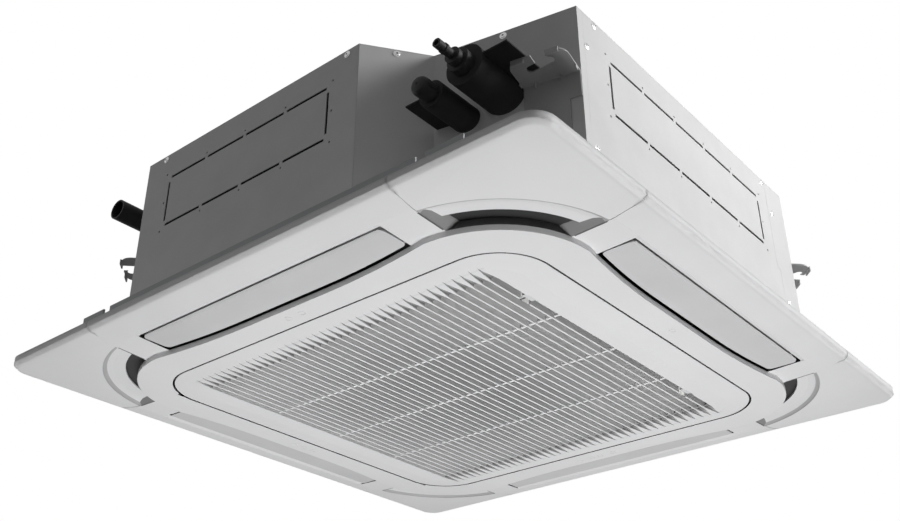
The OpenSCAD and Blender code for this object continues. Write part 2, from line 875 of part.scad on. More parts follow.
module float() {
    color("white") translate([float_x, float_y, coil_bottom + stem_r + seat]) difference() {
        cylinder(r = float_r, h = float_h);
        translate([0, 0, -over]) cylinder(r = stem_r + running, h = float_h + 2 * over);
    }
}

// Bell mouth: the plate and flare that lead the air into the fan
bell_half = pan_rebate - seat;
bell_r = 183;
bell_foot_r = 205;
bell_top = 56;
bell_t = 2.5;

module bell_mouth() {
    color("#d5d7d9") {
        translate([0, 0, pan_rebate_z]) linear_extrude(bell_t) difference() {
            rounded_square(bell_half, pan_hole_r);
            circle(bell_foot_r);
        }
        rotate_extrude() polygon([
            [bell_foot_r + bell_t, pan_rebate_z], [bell_foot_r, pan_rebate_z],
            [bell_r + bell_t, pan_rebate_z + bell_foot_r - bell_r - bell_t], [bell_r, bell_top],
            [bell_r + bell_t, bell_top], [bell_r + 2 * bell_t, pan_rebate_z + bell_foot_r - bell_r],
            [bell_foot_r + bell_t, pan_rebate_z + 2 * bell_t]
        ]);
    }
}

// Electrical box under the bell mouth's plate, at the left
box_w = 30;
box_l = 300;
box_h = 19;
box_t = 1;
box_gap = 2;
box_x = box_gap - pan_hole;
board_t = 1.6;
board_margin = 3;
board_l = 200;
board_drop = 6;
board_z = pan_rebate_z - board_drop;
board_y = 2 * board_margin - box_l / 2;
post_in = 6;
post_r = 2;
terminal_w = 18;
terminal_l = 50;
terminal_h = 10;

module control_box() {
    color(steel) difference() {
        translate([box_x, -box_l / 2, pan_rebate_z - box_h]) cube([box_w, box_l, box_h]);
        translate([box_x + box_t, box_t - box_l / 2, pan_rebate_z - box_h - over])
            cube([box_w - 2 * box_t, box_l - 2 * box_t, box_h - box_t + over]);
    }
}

module control_box_cover() {
    color(steel) translate([box_x, -box_l / 2, pan_rebate_z - box_h - box_t])
        cube([box_w, box_l, box_t]);
}

module circuit_board() {
    color("#2f6b45") {
        translate([box_x + board_margin, board_y, board_z - board_t])
            cube([box_w - 2 * board_margin, board_l, board_t]);
        for (y = [post_in, board_l - post_in]) translate([box_x + box_w / 2, board_y + y, board_z])
            cylinder(r = post_r, h = pan_rebate_z - box_t - board_z);
    }
}

module terminal_block() {
    block_z = pan_rebate_z - box_t - terminal_h;
    color("#e6e7e8") translate([box_x + box_w / 2, box_l / 2 - terminal_l - board_margin, block_z])
        difference() {
            translate([-terminal_w / 2, 0, 0]) cube([terminal_w, terminal_l, terminal_h]);
            for (k = [0:4]) translate([0, terminal_l * (k + 1 / 2) / 5, -over])
                cylinder(r = post_r, h = terminal_h / 2 + over);
        }
}

// Panel

half_panel = panel_size / 2;
outlet_line = half_panel - band_w;
centre_mid = outlet_line - outlet_w;
centre_half = centre_mid + side_bow;
grille_half = centre_mid - face_border;
field_half = grille_half - slat_border;
bow_flat = 75;
bow_span = centre_half - centre_r - bow_flat;
bow_r = (bow_span * bow_span + side_bow * side_bow) / (2 * side_bow);
rim_drop = 9;
rim_round_in = 5.5;
rim_round_drop = 13.5;
lip_drop = 7.5;
duct_in = 4;
face_z = -panel_drop;
grille_gap = 2;
opening_half = grille_half + grille_gap;
opening_r = grille_r + grille_gap;
opening_wall_z = -12;
back_z = -11.5;
back_t = 2.5;
back_half = 445;
back_r = 20;
seam_gap = 0.3;
edge_in = 7;
edge_rise = 2;
slot_line_r = 157;
slot_line_drop = 15;
slot_centre = outlet_line + edge_in / 2 - recess_r;
bridge_z = -23.75;
bridge_top = -9;
bridge_l = seam_at - seam_gap / 2 - outlet_half;

// Flap hinge and motor
flap_axis_in = 40;
flap_axis = outlet_line - flap_axis_in;
flap_axis_z = -13;
flap_gap = 2;
flap_end_gap = 3;
flap_half = outlet_half - flap_end_gap;
ear_t = 3;
flap_motor_r = 10;
flap_motor_l = 18;
flap_motor_up = 6;
flap_motor_z = flap_axis_z + flap_motor_up;
motor_bore = 8;

// Plan of the panel's centre: its sides are straight in the middle and bow out to the corners
module centre_plan(d = 0) {
    difference() {
        rounded_square(centre_half - d, centre_r - d);
        for (i = [0:3]) rotate(90 * i) translate([0, -centre_mid - bow_r]) {
            translate([-bow_flat, 0]) square([2 * bow_flat, bow_r + d]);
            for (x = [-bow_flat, bow_flat]) translate([x, 0]) circle(bow_r + d, $fn = 360);
        }
    }
}

// Plan of the air outlet on one side
module outlet_plan() {
    difference() {
        translate([-outlet_half, -outlet_line]) square([2 * outlet_half, outlet_line - centre_half / 2]);
        centre_plan(duct_in + wall);
    }
}

// Section of the sloped band, drawn with X outwards from the panel's middle
band_points = [
    [outlet_line, edge_rise - band_drop], [outlet_line + edge_in, -band_drop], [half_panel - rim_round_in, -rim_round_drop], [half_panel, -rim_drop],
    [half_panel, 0], [half_panel - wall, 0], [half_panel - wall, -rim_drop],
    [half_panel - rim_round_in - wall / 2, wall - rim_round_drop], [outlet_line + edge_in, wall - band_drop],
    [outlet_line, edge_rise + wall - band_drop]
];

module panel_screw_places() {
    for (i = [0:3]) on_side(i) translate([-tab_at, tab_in - half, 0]) children();
}

module back_plan() {
    difference() {
        rounded_square(back_half, back_r);
        centre_plan(duct_in + wall);
        for (i = [0:3]) rotate(90 * i) {
            outlet_plan();
            translate([outlet_half + wall, -flap_axis - flap_motor_r - over])
                square([flap_motor_l + over, 2 * (flap_motor_r + over)]);
        }
    }
}

// Housing between a flap's end and the corner: it hides the flap motor or the panel screw
module bridge() {
    difference() {
        translate([outlet_half, 0, 0]) rotate([90, 0, 90]) linear_extrude(bridge_l) polygon([
            [-outlet_line - edge_in, -band_drop], [-centre_mid, bridge_z], [-centre_mid, bridge_top],
            [-outlet_line - wall, bridge_top], [-outlet_line - edge_in, wall / 2 - band_drop]
        ]);
        translate([outlet_half + wall, -outlet_line, wall - band_drop])
            cube([seam_at - outlet_half - 2 * wall, outlet_line, bridge_top + band_drop]);
        translate([0, 0, face_z]) linear_extrude(panel_drop) centre_plan(duct_in + wall / 2);
    }
}

module panel_frame() {
    color(plastic) difference() {
        union() {
            translate([0, 0, face_z]) linear_extrude(wall) difference() {
                centre_plan();
                rounded_square(opening_half, opening_r);
            }
            translate([0, 0, face_z]) linear_extrude(lip_drop) difference() {
                centre_plan();
                centre_plan(duct_in + wall);
            }
            translate([0, 0, face_z + wall / 2])
                linear_extrude(bridge_top - face_z - wall / 2) difference() {
                    centre_plan(duct_in);
                    centre_plan(duct_in + wall);
                }
            translate([0, 0, face_z]) linear_extrude(opening_wall_z - face_z) difference() {
                rounded_square(opening_half + wall, opening_r + wall);
                rounded_square(opening_half, opening_r);
            }
            translate([0, 0, back_z]) linear_extrude(back_t) back_plan();
            for (i = [0:3]) on_side(i) {
                rotate([90, 0, -90]) translate([0, 0, seam_gap / 2 - seam_at])
                    linear_extrude(2 * seam_at - seam_gap) polygon(band_points);
                translate([-seam_at + seam_gap, -outlet_line - wall, edge_rise + wall / 2 - band_drop])
                    cube([2 * (seam_at - seam_gap), wall, bridge_top - edge_rise - wall / 2 + band_drop]);
                bridge();
                mirror([1, 0, 0]) bridge();
            }
            grille_bearings();
        }
        for (e = [0, 1]) mirror([0, e, 0]) translate([hinge_x, grille_half - grille_r, hinge_z])
            rod_y(hinge_relief_r, 0, hinge_relief_l);
        for (i = [0:3]) on_side(i) translate([0, -flap_axis, flap_axis_z]) {
            rod_x(flap_pin_r + running, -outlet_half - wall - over, over - outlet_half);
            rod_x(flap_pin_r + running, outlet_half - over, outlet_half + wall + over);
        }
        panel_screw_places() translate([0, 0, back_z - over])
            cylinder(r = panel_screw_r + seat, h = back_t + 2 * over);
        for (y = [-1, 1])
            translate([opening_half - over, y * latch_y - tongue_w / 2 - seat, tongue_z - seat])
                cube([wall + 2 * over, tongue_w + 2 * seat, tongue_t + 2 * seat]);
    }
}

// Edge strip behind the rim of the front side, notched where the panel's clips sit
strip_t = 2.5;
strip_back = 4;
strip_half = 438;
strip_low = 3.5;
strip_high = 11;
strip_foot = -9.5;
strip_notch = 7;
strip_left = -292;
strip_left_notch = -239;
strip_right_notch = 318;
strip_right = 377;

module edge_strip() {
    high = strip_high - strip_foot;
    color("#8a8c8e") translate([0, strip_back + strip_t - half_panel, 0]) rotate([90, 0, 0])
        linear_extrude(strip_t) {
            translate([-strip_half, strip_foot]) square([2 * strip_half, strip_low - strip_foot]);
            translate([strip_left, strip_foot])
                square([strip_left_notch - strip_notch - strip_left, high]);
            translate([strip_left_notch + strip_notch, strip_foot])
                square([strip_right_notch - strip_left_notch - 2 * strip_notch, high]);
            translate([strip_right_notch + strip_notch, strip_foot])
                square([strip_right - strip_right_notch - strip_notch, high]);
        }
}

module outlet_seal() {
    color("#55585b") translate([0, 0, back_z + back_t])
        linear_extrude(-body_drop - back_z - back_t) difference() {
            intersection() {
                back_plan();
                polygon(inner_outline(sheet_t + seat));
            }
            for (i = [0:3]) rotate(90 * i) translate([-tab_at, tab_in - half]) circle(tab_w / 2);
        }
}

// Corner covers: each clips over a panel corner and dips to the corner outlet
cover_fn = 32;
cover_post_r = 4;
cover_post_at = 400;
cover_post_z = -17;

module band_level(z, h, r) {
    translate([0, 0, z]) linear_extrude(over / 10) union() {
        square([2 * h, 2 * (h - r)], center = true);
        square([2 * (h - r), 2 * h], center = true);
        for (x = [-1, 1], y = [-1, 1]) translate([x, y] * (h - r)) circle(r, $fn = cover_fn);
    }
}

module band_hull(d) {
    round_in = rim_round_in + d / 2;
    hull() {
        band_level(d, half_panel - d, panel_corner_r - d);
        band_level(-rim_drop, half_panel - d, panel_corner_r - d);
        band_level(d - rim_round_drop, half_panel - round_in, panel_corner_r - round_in);
        band_level(d - band_drop, slot_centre + recess_r, recess_r);
    }
}

// Section of the dish that the band dips into at a corner, as steps in and up from its outer edge
dish_steps = [[0, 0], [4, 2.6], [8, 4.2], [15, 5.7]];
dish_shoulder = 8;
slot_end_slope = 41.5;
bridge_tilt = atan((-band_drop - bridge_z) / (outlet_w + edge_in));
slot_end_h = back_z - bridge_z + over;

module dish() {
    translate([slot_centre, -slot_centre, 0]) rotate([0, 0, -90]) rotate_extrude(angle = 90) polygon(concat(
        [for (s = dish_steps) [recess_r - s.x, s.y - band_drop]],
        [
            [slot_line_r, -slot_line_drop], [slot_line_r, wall - slot_line_drop],
            [recess_r - dish_shoulder, wall - slot_line_drop], [recess_r + over, wall - band_drop]
        ]
    ));
}

// Ramp at an end of the corner outlet: it rises from the seam to the back of the dish
module slot_end() {
    difference() {
        intersection() {
            translate([seam_at, -outlet_line - edge_in, -band_drop]) rotate([-bridge_tilt, 0, 0])
                rotate([90, 0, 0]) mirror([0, 0, 1]) linear_extrude(outlet_w + edge_in) polygon([
                    [0, 0], [slot_end_h / tan(slot_end_slope), slot_end_h], [0, slot_end_h]
                ]);
            translate([slot_centre, -slot_centre, -panel_drop]) cylinder(r = recess_r, h = back_z + panel_drop);
        }
        translate([0, 0, -panel_drop]) linear_extrude(panel_drop) centre_plan(duct_in - seat);
    }
}

module corner_cover() {
    color(plastic) intersection() {
        union() {
            difference() {
                band_hull(0);
                band_hull(wall);
                translate([0, 0, -panel_drop]) linear_extrude(2 * panel_drop)
                    rounded_square(slot_centre + recess_r - over, recess_r - over);
            }
            dish();
            slot_end();
            mirror([1, 1, 0]) slot_end();
            translate([cover_post_at, -cover_post_at, cover_post_z])
                cylinder(r = cover_post_r, h = back_z - cover_post_z);
        }
        translate([seam_at + seam_gap / 2, -half_panel - over, -panel_drop])
            cube([half_panel, half_panel + over - seam_at - seam_gap / 2, 2 * panel_drop]);
    }
}

module front_right_cover() {
    corner_cover();
}

module back_right_cover() {
    on_side(1) corner_cover();
}

module back_left_cover() {
    on_side(2) corner_cover();
}

module front_left_cover() {
    on_side(3) corner_cover();
}

panel_screw_r = 2.5;
panel_screw_l = 16;
panel_screw_head_r = 6;
panel_screw_head_h = 3;

module panel_screws() {
    color("#b9bdc1") panel_screw_places() translate([0, 0, back_z]) {
        cylinder(r = panel_screw_r, h = panel_screw_l - over - panel_screw_head_h);
        translate([0, 0, -panel_screw_head_h]) cylinder(r = panel_screw_head_r, h = panel_screw_head_h);
    }
}

module flap_motors() {
    color("#e9e9e4") for (i = [0:3]) on_side(i) difference() {
        translate([0, -flap_axis, flap_motor_z])
            rod_x(flap_motor_r, outlet_half + wall, outlet_half + wall + flap_motor_l);
        translate([0, -flap_axis, flap_axis_z])
            rod_x(flap_pin_r + running, outlet_half, outlet_half + wall + motor_bore);
    }
}

// Swing flap of the front side, closed
flap_inner_gap = 4;
flap_corner_r = 8;
flap_inner_r = 8;
flap_front = outlet_line - flap_gap;
flap_edge_in = 4;
flap_edge_up = 1.8;
flap_arc = flap_half - flap_inner_r - bow_flat;
flap_back = centre_mid + flap_inner_gap + bow_r - sqrt(bow_r * bow_r - flap_arc * flap_arc);
ear_half = 4;
ear_top = 3;

module flap_plan() {
    difference() {
        union() {
            translate([-flap_half, -flap_front + flap_corner_r])
                square([2 * flap_half, flap_front - flap_back - flap_corner_r - flap_inner_r]);
            translate([flap_corner_r - flap_half, -flap_front])
                square([2 * (flap_half - flap_corner_r), flap_corner_r + over]);
            translate([flap_inner_r - flap_half, -flap_back - flap_inner_r - over])
                square([2 * (flap_half - flap_inner_r), flap_back + over + flap_inner_r - centre_mid]);
            for (x = [-1, 1]) {
                translate([x * (flap_half - flap_corner_r), flap_corner_r - flap_front]) circle(flap_corner_r);
                translate([x * (flap_half - flap_inner_r), -flap_inner_r - flap_back]) circle(flap_inner_r);
            }
        }
        centre_plan(-flap_inner_gap);
    }
}

module flap() {
    color("#c4c5c6") {
        intersection() {
            translate([0, 0, -flap_drop]) linear_extrude(flap_t) flap_plan();
            rotate([90, 0, 90]) translate([0, 0, -flap_half]) linear_extrude(2 * flap_half) polygon([
                [-flap_front, flap_t - flap_drop], [-flap_front, flap_edge_up - flap_drop],
                [flap_edge_in - flap_front, -flap_drop], [0, -flap_drop], [0, flap_t - flap_drop]
            ]);
        }
        for (x = [-flap_half, flap_half - ear_t])
            translate([x, -flap_axis - ear_half, flap_t / 2 - flap_drop])
                cube([ear_t, 2 * ear_half, flap_axis_z + ear_top + flap_drop - flap_t / 2]);
        translate([0, -flap_axis, flap_axis_z]) {
            rod_x(flap_pin_r, -outlet_half - wall, -flap_half + ear_t);
            rod_x(flap_pin_r, flap_half - ear_t, outlet_half + wall + motor_bore - over);
        }
    }
}

module front_flap() {
    flap();
}

module right_flap() {
    on_side(1) flap();
}

module back_flap() {
    on_side(2) flap();
}

module left_flap() {
    on_side(3) flap();
}

// Intake grille: a plate with a field of slats, hinged at the left and latched at the right
slat_w = 2.6;
slat_top = -24;
slat_pitch = 2 * field_half / slot_count;
rib_w = 4;
rib_at = 132;
rib_in = grille_bulge;
run_out = 36;
run_out_depth = 4;
run_out_tip = 1.2;
run_out_angle = asin((run_out_depth - run_out_tip) / run_out);
bulge_in = 34;
ledge_in = 21.5;
ledge_half = grille_half - ledge_in;
ledge_w = 3;
ledge_top = -23.8;
grille_z = face_z;
hinge_in = 2.3;
hinge_up = 2.75;
hinge_x = hinge_in - grille_half;
hinge_z = face_z + hinge_up;
hinge_pin_r = 1.2;
hinge_boss_r = 2.2;
grille_bevel = 1.5;
hinge_relief_r = 3.8;
hinge_relief_l = 30;
bearing_y = 202;
bearing_w = 6;
bearing_arm_w = 4.5;
bearing_top = -13;
arm_w = 2.5;
arm_half = 2.1;
arm_at = bearing_w / 2 + arm_w / 2 + seat;
bearing_mid = bearing_y + bearing_w / 2;
latch_y = 195;
latch_w = 20;
latch_travel = 5;
latch_in = 10;
latch_x = field_half - latch_in;
latch_l = 10;
latch_deep = 3.5;
tongue_w = 12;
tongue_z = -27.5;
tongue_t = 3;
tongue_reach = 3.5;

module grille_bearings() {
    for (y = [-1, 1]) translate([0, y * bearing_mid - bearing_w / 2, 0]) difference() {
        union() {
            translate([hinge_x, 0, hinge_z]) rod_y(hinge_boss_r, 0, bearing_w);
            translate([hinge_x - hinge_pin_r - running, 0, hinge_z])
                cube([bearing_arm_w, bearing_w, bearing_top - hinge_z]);
            translate([-opening_half - over, 0, bearing_top - tongue_t])
                cube([bearing_arm_w + opening_half + over + hinge_x, bearing_w, tongue_t]);
        }
        translate([hinge_x, 0, hinge_z]) rod_y(hinge_pin_r + running, -over, bearing_w + over);
    }
}

// Tapered run-out of one slot into the plate
module slot_run_out() {
    run_out_half = (slat_pitch - slat_w) / 2;
    difference() {
        linear_extrude(run_out_depth + 2 * over)
            polygon([[-run_out_half, 0], [run_out_half, 0], [0, run_out]]);
        translate([-run_out_half - over, 0, run_out_depth + over]) rotate([-run_out_angle, 0, 0])
            cube([2 * (run_out_half + over), 2 * run_out, 2 * run_out_depth]);
    }
}

// Well that a latch slides in, and the notch that its tongue passes through
module latch_well(h) {
    for (y = [-1, 1]) {
        translate([latch_x - latch_travel - seat, y * latch_y - latch_w / 2 - seat, grille_z - h])
            cube([latch_l + latch_travel + 2 * seat, latch_w + 2 * seat, 3 * h]);
        translate([latch_x, y * latch_y - tongue_w / 2 - seat, tongue_z - seat])
            cube([opening_half - latch_x, tongue_w + 2 * seat, tongue_t + 2 * seat + over]);
    }
}

module grille_plate() {
    translate([0, 0, grille_z + grille_bevel]) linear_extrude(wall - grille_bevel)
        rounded_square(grille_half, grille_r);
    hull() {
        translate([0, 0, grille_z + grille_bevel]) linear_extrude(wall / 2)
            rounded_square(grille_half, grille_r, $fn = cover_fn);
        translate([0, 0, grille_z]) linear_extrude(wall / 2)
            rounded_square(grille_half - grille_bevel, grille_r - grille_bevel, $fn = cover_fn);
        translate([0, 0, grille_z - grille_bulge]) linear_extrude(wall / 2)
            rounded_square(grille_half - bulge_in, grille_r - bulge_in, $fn = cover_fn);
    }
}

// Ears that hold the hinge pins on both sides of each bearing
module hinge_ears() {
    for (y = [-bearing_mid, bearing_mid], e = [-arm_at, arm_at])
        translate([hinge_x, y + e - arm_w / 2, hinge_z]) {
            rod_y(arm_half, 0, arm_w);
            translate([-arm_half, 0, wall / 2 - hinge_up])
                cube([2 * arm_half, arm_w, hinge_up - wall / 2]);
        }
}

module slats() {
    for (k = [0:slot_count])
        translate([slat_pitch * k - field_half - slat_w / 2, -field_half - over, grille_z - grille_bulge])
            cube([slat_w, 2 * (field_half + over), slat_top - grille_z + grille_bulge]);
    for (y = [-rib_at, 0, rib_at])
        translate([-field_half - over, y - rib_w / 2, grille_z - grille_bulge + rib_in])
            cube([2 * (field_half + over), rib_w, slat_top - grille_z + grille_bulge - rib_in]);
}

module intake_grille() {
    color(plastic) difference() {
        union() {
            difference() {
                union() {
                    grille_plate();
                    hinge_ears();
                }
                translate([-field_half, -field_half, grille_z - 2 * grille_bulge])
                    cube([2 * field_half, 2 * field_half, 4 * grille_bulge]);
                for (k = [0:slot_count - 1], e = [0, 1]) rotate([0, 0, 180 * e])
                    translate([slat_pitch * (k + 1 / 2) - field_half, field_half, grille_z - grille_bulge])
                        translate([0, -over / 10, -over]) slot_run_out();
                for (y = [-bearing_mid, bearing_mid])
                    translate([-grille_half - over, y - bearing_w / 2 - seat, hinge_z - hinge_boss_r - seat])
                        cube([4 * hinge_boss_r, bearing_w + 2 * seat, 2 * hinge_boss_r]);
            }
            slats();
            translate([0, 0, grille_z + wall / 2]) linear_extrude(ledge_top - grille_z - wall / 2)
                difference() {
                    rounded_square(ledge_half + ledge_w, grille_r - bulge_in + ledge_w);
                    rounded_square(ledge_half, grille_r - bulge_in);
                }
        }
        translate([hinge_x, 0, hinge_z])
            rod_y(hinge_pin_r, -bearing_mid - 2 * bearing_w, bearing_mid + 2 * bearing_w);
        latch_well(2 * grille_bulge);
    }
}

module grille_hinge_pins() {
    color(steel) for (y = [-bearing_mid, bearing_mid]) translate([hinge_x, y, hinge_z])
        rod_y(hinge_pin_r, -arm_at - arm_w / 2, arm_at + arm_w / 2);
}

// Air filter: a net in a frame that rests on the grille's ledge
filter_over = 6;
filter_half = ledge_half + filter_over;
filter_h = 6;
filter_edge = 10;
filter_r = 40;
net_count = 16;
net_t = 0.8;
net_bar = 1;

module air_filter() {
    net = filter_half - filter_edge;
    color("#4a4f54") translate([0, 0, ledge_top]) {
        linear_extrude(filter_h) difference() {
            rounded_square(filter_half, filter_r);
            rounded_square(net, filter_r - filter_edge);
        }
        for (k = [1:net_count - 1]) {
            at = 2 * net * k / net_count - net - net_bar / 2;
            translate([at, -net - over, 0]) cube([net_bar, 2 * (net + over), net_t]);
            translate([-net - over, at, 0]) cube([2 * (net + over), net_bar, net_t]);
        }
    }
}

// Grille latch: a finger tab in the slats, and a tongue that reaches into the panel
module latch(y) {
    tab_z = grille_z - grille_bulge + latch_deep;
    color("#b9bbbd") translate([latch_x, y, 0]) {
        translate([0, -latch_w / 2, tab_z]) cube([latch_l, latch_w, tongue_z + tongue_t - tab_z]);
        translate([0, -tongue_w / 2, tongue_z])
            cube([opening_half + tongue_reach - latch_x, tongue_w, tongue_t]);
    }
}

module back_latch() {
    latch(latch_y);
}

module front_latch() {
    latch(-latch_y);
}

top_plate();
front_plate();
right_plate();
back_plate();
left_plate();
piping_corner_plate();
back_right_corner_plate();
back_left_corner_plate();
front_left_corner_plate();
foam_liner();
front_right_hanger();
back_right_hanger();
back_left_hanger();
front_left_hanger();
casing_screws();
fan_motor();
motor_mounts();
motor_shaft();
turbo_fan();
fan_nut();
coil_fins();
coil_tubes();
coil_end_plates();
drain_pan();
drain_pump();
pump_hose();
drain_socket();
float_switch();
float();
bell_mouth();
control_box();
control_box_cover();
circuit_board();
terminal_block();
gas_pipe();
liquid_pipe();
gas_pipe_insulation();
liquid_pipe_insulation();
gas_pipe_cap();
liquid_pipe_cap();
panel_frame();
edge_strip();
outlet_seal();
front_right_cover();
back_right_cover();
back_left_cover();
front_left_cover();
panel_screws();
flap_motors();
front_flap();
right_flap();
back_flap();
left_flap();
intake_grille();
grille_hinge_pins();
air_filter();
back_latch();
front_latch();
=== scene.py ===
# %% [markdown]
# # A ceiling cassette air conditioner
# The steel body of this unit hangs above a ceiling, and only its square white panel shows in the
# room. The solids come from the part's source as a fixed frame. This script gives each piece the
# finish of the real one, adds the small pressed and moulded forms that catch the light, and sets
# the camera, the room and the lamps.

# %% The frame
import bpy
import bmesh
import math
from mathutils import Matrix, Vector


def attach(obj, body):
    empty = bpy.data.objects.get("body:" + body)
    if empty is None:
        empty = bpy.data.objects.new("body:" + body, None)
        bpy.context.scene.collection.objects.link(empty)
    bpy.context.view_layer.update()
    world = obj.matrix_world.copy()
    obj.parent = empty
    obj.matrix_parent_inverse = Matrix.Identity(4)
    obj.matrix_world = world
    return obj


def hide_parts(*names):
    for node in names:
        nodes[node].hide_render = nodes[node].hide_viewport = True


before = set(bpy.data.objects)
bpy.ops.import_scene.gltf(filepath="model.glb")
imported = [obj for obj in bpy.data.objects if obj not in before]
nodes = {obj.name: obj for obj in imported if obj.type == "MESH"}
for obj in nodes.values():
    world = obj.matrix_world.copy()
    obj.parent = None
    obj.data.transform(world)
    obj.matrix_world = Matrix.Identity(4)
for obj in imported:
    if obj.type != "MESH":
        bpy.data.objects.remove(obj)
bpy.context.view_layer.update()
MM = 0.001

# %% [markdown]
# ## Camera
# The photo looks up at the unit from below its near corner. Its view was worked out from the
# edges of the panel and the body, so the camera is placed by numbers: an eye, a turn of 40
# degrees and a tilt of 30 degrees upwards. A small shift puts the view's centre where it was.

# %% Camera
PHOTO_W, PHOTO_H = 900, 521
FOCAL_PX, CENTRE_X, CENTRE_Y = 1104.01, 443.66, 251.0
EYE, TURN, TILT = (957.0, -1193.3, -662.5), 40.0, 29.92


def look(eye, turn, tilt):
    """A camera's matrix. A turn of 0 looks along +Y, and the tilt is above the horizon."""
    a, e = math.radians(turn), math.radians(tilt)
    ahead = Vector((-math.sin(a) * math.cos(e), math.cos(a) * math.cos(e), math.sin(e)))
    right = ahead.cross(Vector((0, 0, 1))).normalized()
    up = right.cross(ahead)
    m = Matrix((right, up, -ahead)).transposed().to_4x4()
    m.translation = Vector(eye) * MM
    return m


lens = bpy.data.cameras.new("photo_camera")
lens.sensor_width = 36
lens.lens = FOCAL_PX / PHOTO_W * lens.sensor_width
lens.shift_x = (PHOTO_W / 2 - CENTRE_X) / PHOTO_W
lens.shift_y = (CENTRE_Y - PHOTO_H / 2) / PHOTO_W
lens.clip_end = 50
camera = bpy.data.objects.new("photo_camera", lens)
camera.matrix_world = look(EYE, TURN, TILT)
bpy.context.scene.collection.objects.link(camera)
bpy.context.scene.camera = camera
bpy.context.scene.view_settings.view_transform = "Standard"
print("lens:", round(lens.lens, 2), "mm")

# %% [markdown]
# ## Materials
# Each material is a small tree of nodes, and one function adds a node with its settings and its
# links. Another turns a screen colour such as #d9d9d9 into the linear numbers that the renderer
# works with. Patterns read Object coordinates, which are metres on every piece here, so a
# pattern's scale is one over its real size in metres.

# %% Helpers for materials
def linear(code):
    """A screen colour made linear."""
    parts = [int(code[i:i + 2], 16) / 255 for i in (1, 3, 5)]
    return tuple(c / 12.92 if c <= 0.04045 else ((c + 0.055) / 1.055) ** 2.4 for c in parts) + (1,)


def add(tree, kind, inputs=None, links=(), **settings):
    """Adds a node: settings are its own fields, inputs its values, links (input, node, output)."""
    node = tree.nodes.new(kind)
    for key, value in settings.items():
        setattr(node, key, value)
    for key, value in (inputs or {}).items():
        node.inputs[key].default_value = value
    for key, source, out in links:
        tree.links.new(source.outputs[out], node.inputs[key])
    return node


def start(name, **values):
    """A new material, its tree, its shader with those values, and the object's coordinates."""
    m = bpy.data.materials.new(name)
    m.use_nodes = True
    shader = m.node_tree.nodes["Principled BSDF"]
    for key, value in values.items():
        shader.inputs[key.replace("_", " ")].default_value = value
    return m, m.node_tree, shader, add(m.node_tree, "ShaderNodeTexCoord")


def two_tones(tree, coords, shader, dark, light, size_mm):
    """The colour drifts between two close tones over patches of that size."""
    patches = add(tree, "ShaderNodeTexNoise", {"Scale": 1 / (size_mm * MM), "Detail": 3.0},
                  [("Vector", coords, "Object")])
    ramp = add(tree, "ShaderNodeValToRGB", links=[("Fac", patches, "Fac")])
    ramp.color_ramp.elements[0].position = 0.35
    ramp.color_ramp.elements[0].color = linear(dark)
    ramp.color_ramp.elements[1].position = 0.65
    ramp.color_ramp.elements[1].color = linear(light)
    tree.links.new(ramp.outputs["Color"], shader.inputs["Base Color"])
    return ramp, patches


# %% [markdown]
# **Zinc-coated steel sheet.** The body is folded from coated sheet about 1 mm thick. The coating
# is light grey with a soft sheen. Its crystals, some 5 mm across, change the gloss a little from
# one to the next, and a folded edge is round, about 1 mm, so it catches a thin line of light.

# %% Zinc-coated steel sheet
CRYSTAL_SIZE, FOLD_ROUND = 5, 0.9


def coated_sheet(name, dark, light, roughness):
    m, tree, shader, coords = start(name, IOR=1.5)
    two_tones(tree, coords, shader, dark, light, 60)
    crystals = add(tree, "ShaderNodeTexVoronoi", {"Scale": 1 / (CRYSTAL_SIZE * MM)},
                   [("Vector", coords, "Object")])
    gloss = add(tree, "ShaderNodeMapRange",
                {"To Min": roughness - 0.05, "To Max": roughness + 0.07},
                [("Value", crystals, "Distance")])
    tree.links.new(gloss.outputs["Result"], shader.inputs["Roughness"])
    fold = add(tree, "ShaderNodeBevel", {"Radius": FOLD_ROUND * MM}, samples=4)
    tree.links.new(fold.outputs["Normal"], shader.inputs["Normal"])
    return m


casing_steel = coated_sheet("zinc_coated_sheet", "#d4d4d4", "#d9d9d9", 0.5)
hanger_steel = coated_sheet("zinc_coated_bracket", "#b4b4b4", "#bbbbbb", 0.42)

# %% [markdown]
# **Moulded ABS.** The panel, the grille and the flaps are injection moulded. The surface has a
# fine spark-eroded grain that makes it satin, and every edge is rounded by the mould, about
# 1 mm. The grain is some 0.2 mm across, too fine for this picture, so it is drawn coarser.

# %% Moulded plastics
def moulded(name, dark, light, roughness, grain_mm=1.0, grain_height_mm=0.01, edge_mm=0.8,
            specular=0.4):
    m, tree, shader, coords = start(name, Roughness=roughness, IOR=1.49,
                                    Specular_IOR_Level=specular)
    two_tones(tree, coords, shader, dark, light, 110)
    grain = add(tree, "ShaderNodeTexNoise", {"Scale": 1 / (grain_mm * MM), "Detail": 2.0},
                [("Vector", coords, "Object")])
    edge = add(tree, "ShaderNodeBevel", {"Radius": edge_mm * MM}, samples=4)
    bump = add(tree, "ShaderNodeBump", {"Distance": grain_height_mm * MM},
               [("Height", grain, "Fac"), ("Normal", edge, "Normal")])
    tree.links.new(bump.outputs["Normal"], shader.inputs["Normal"])
    return m


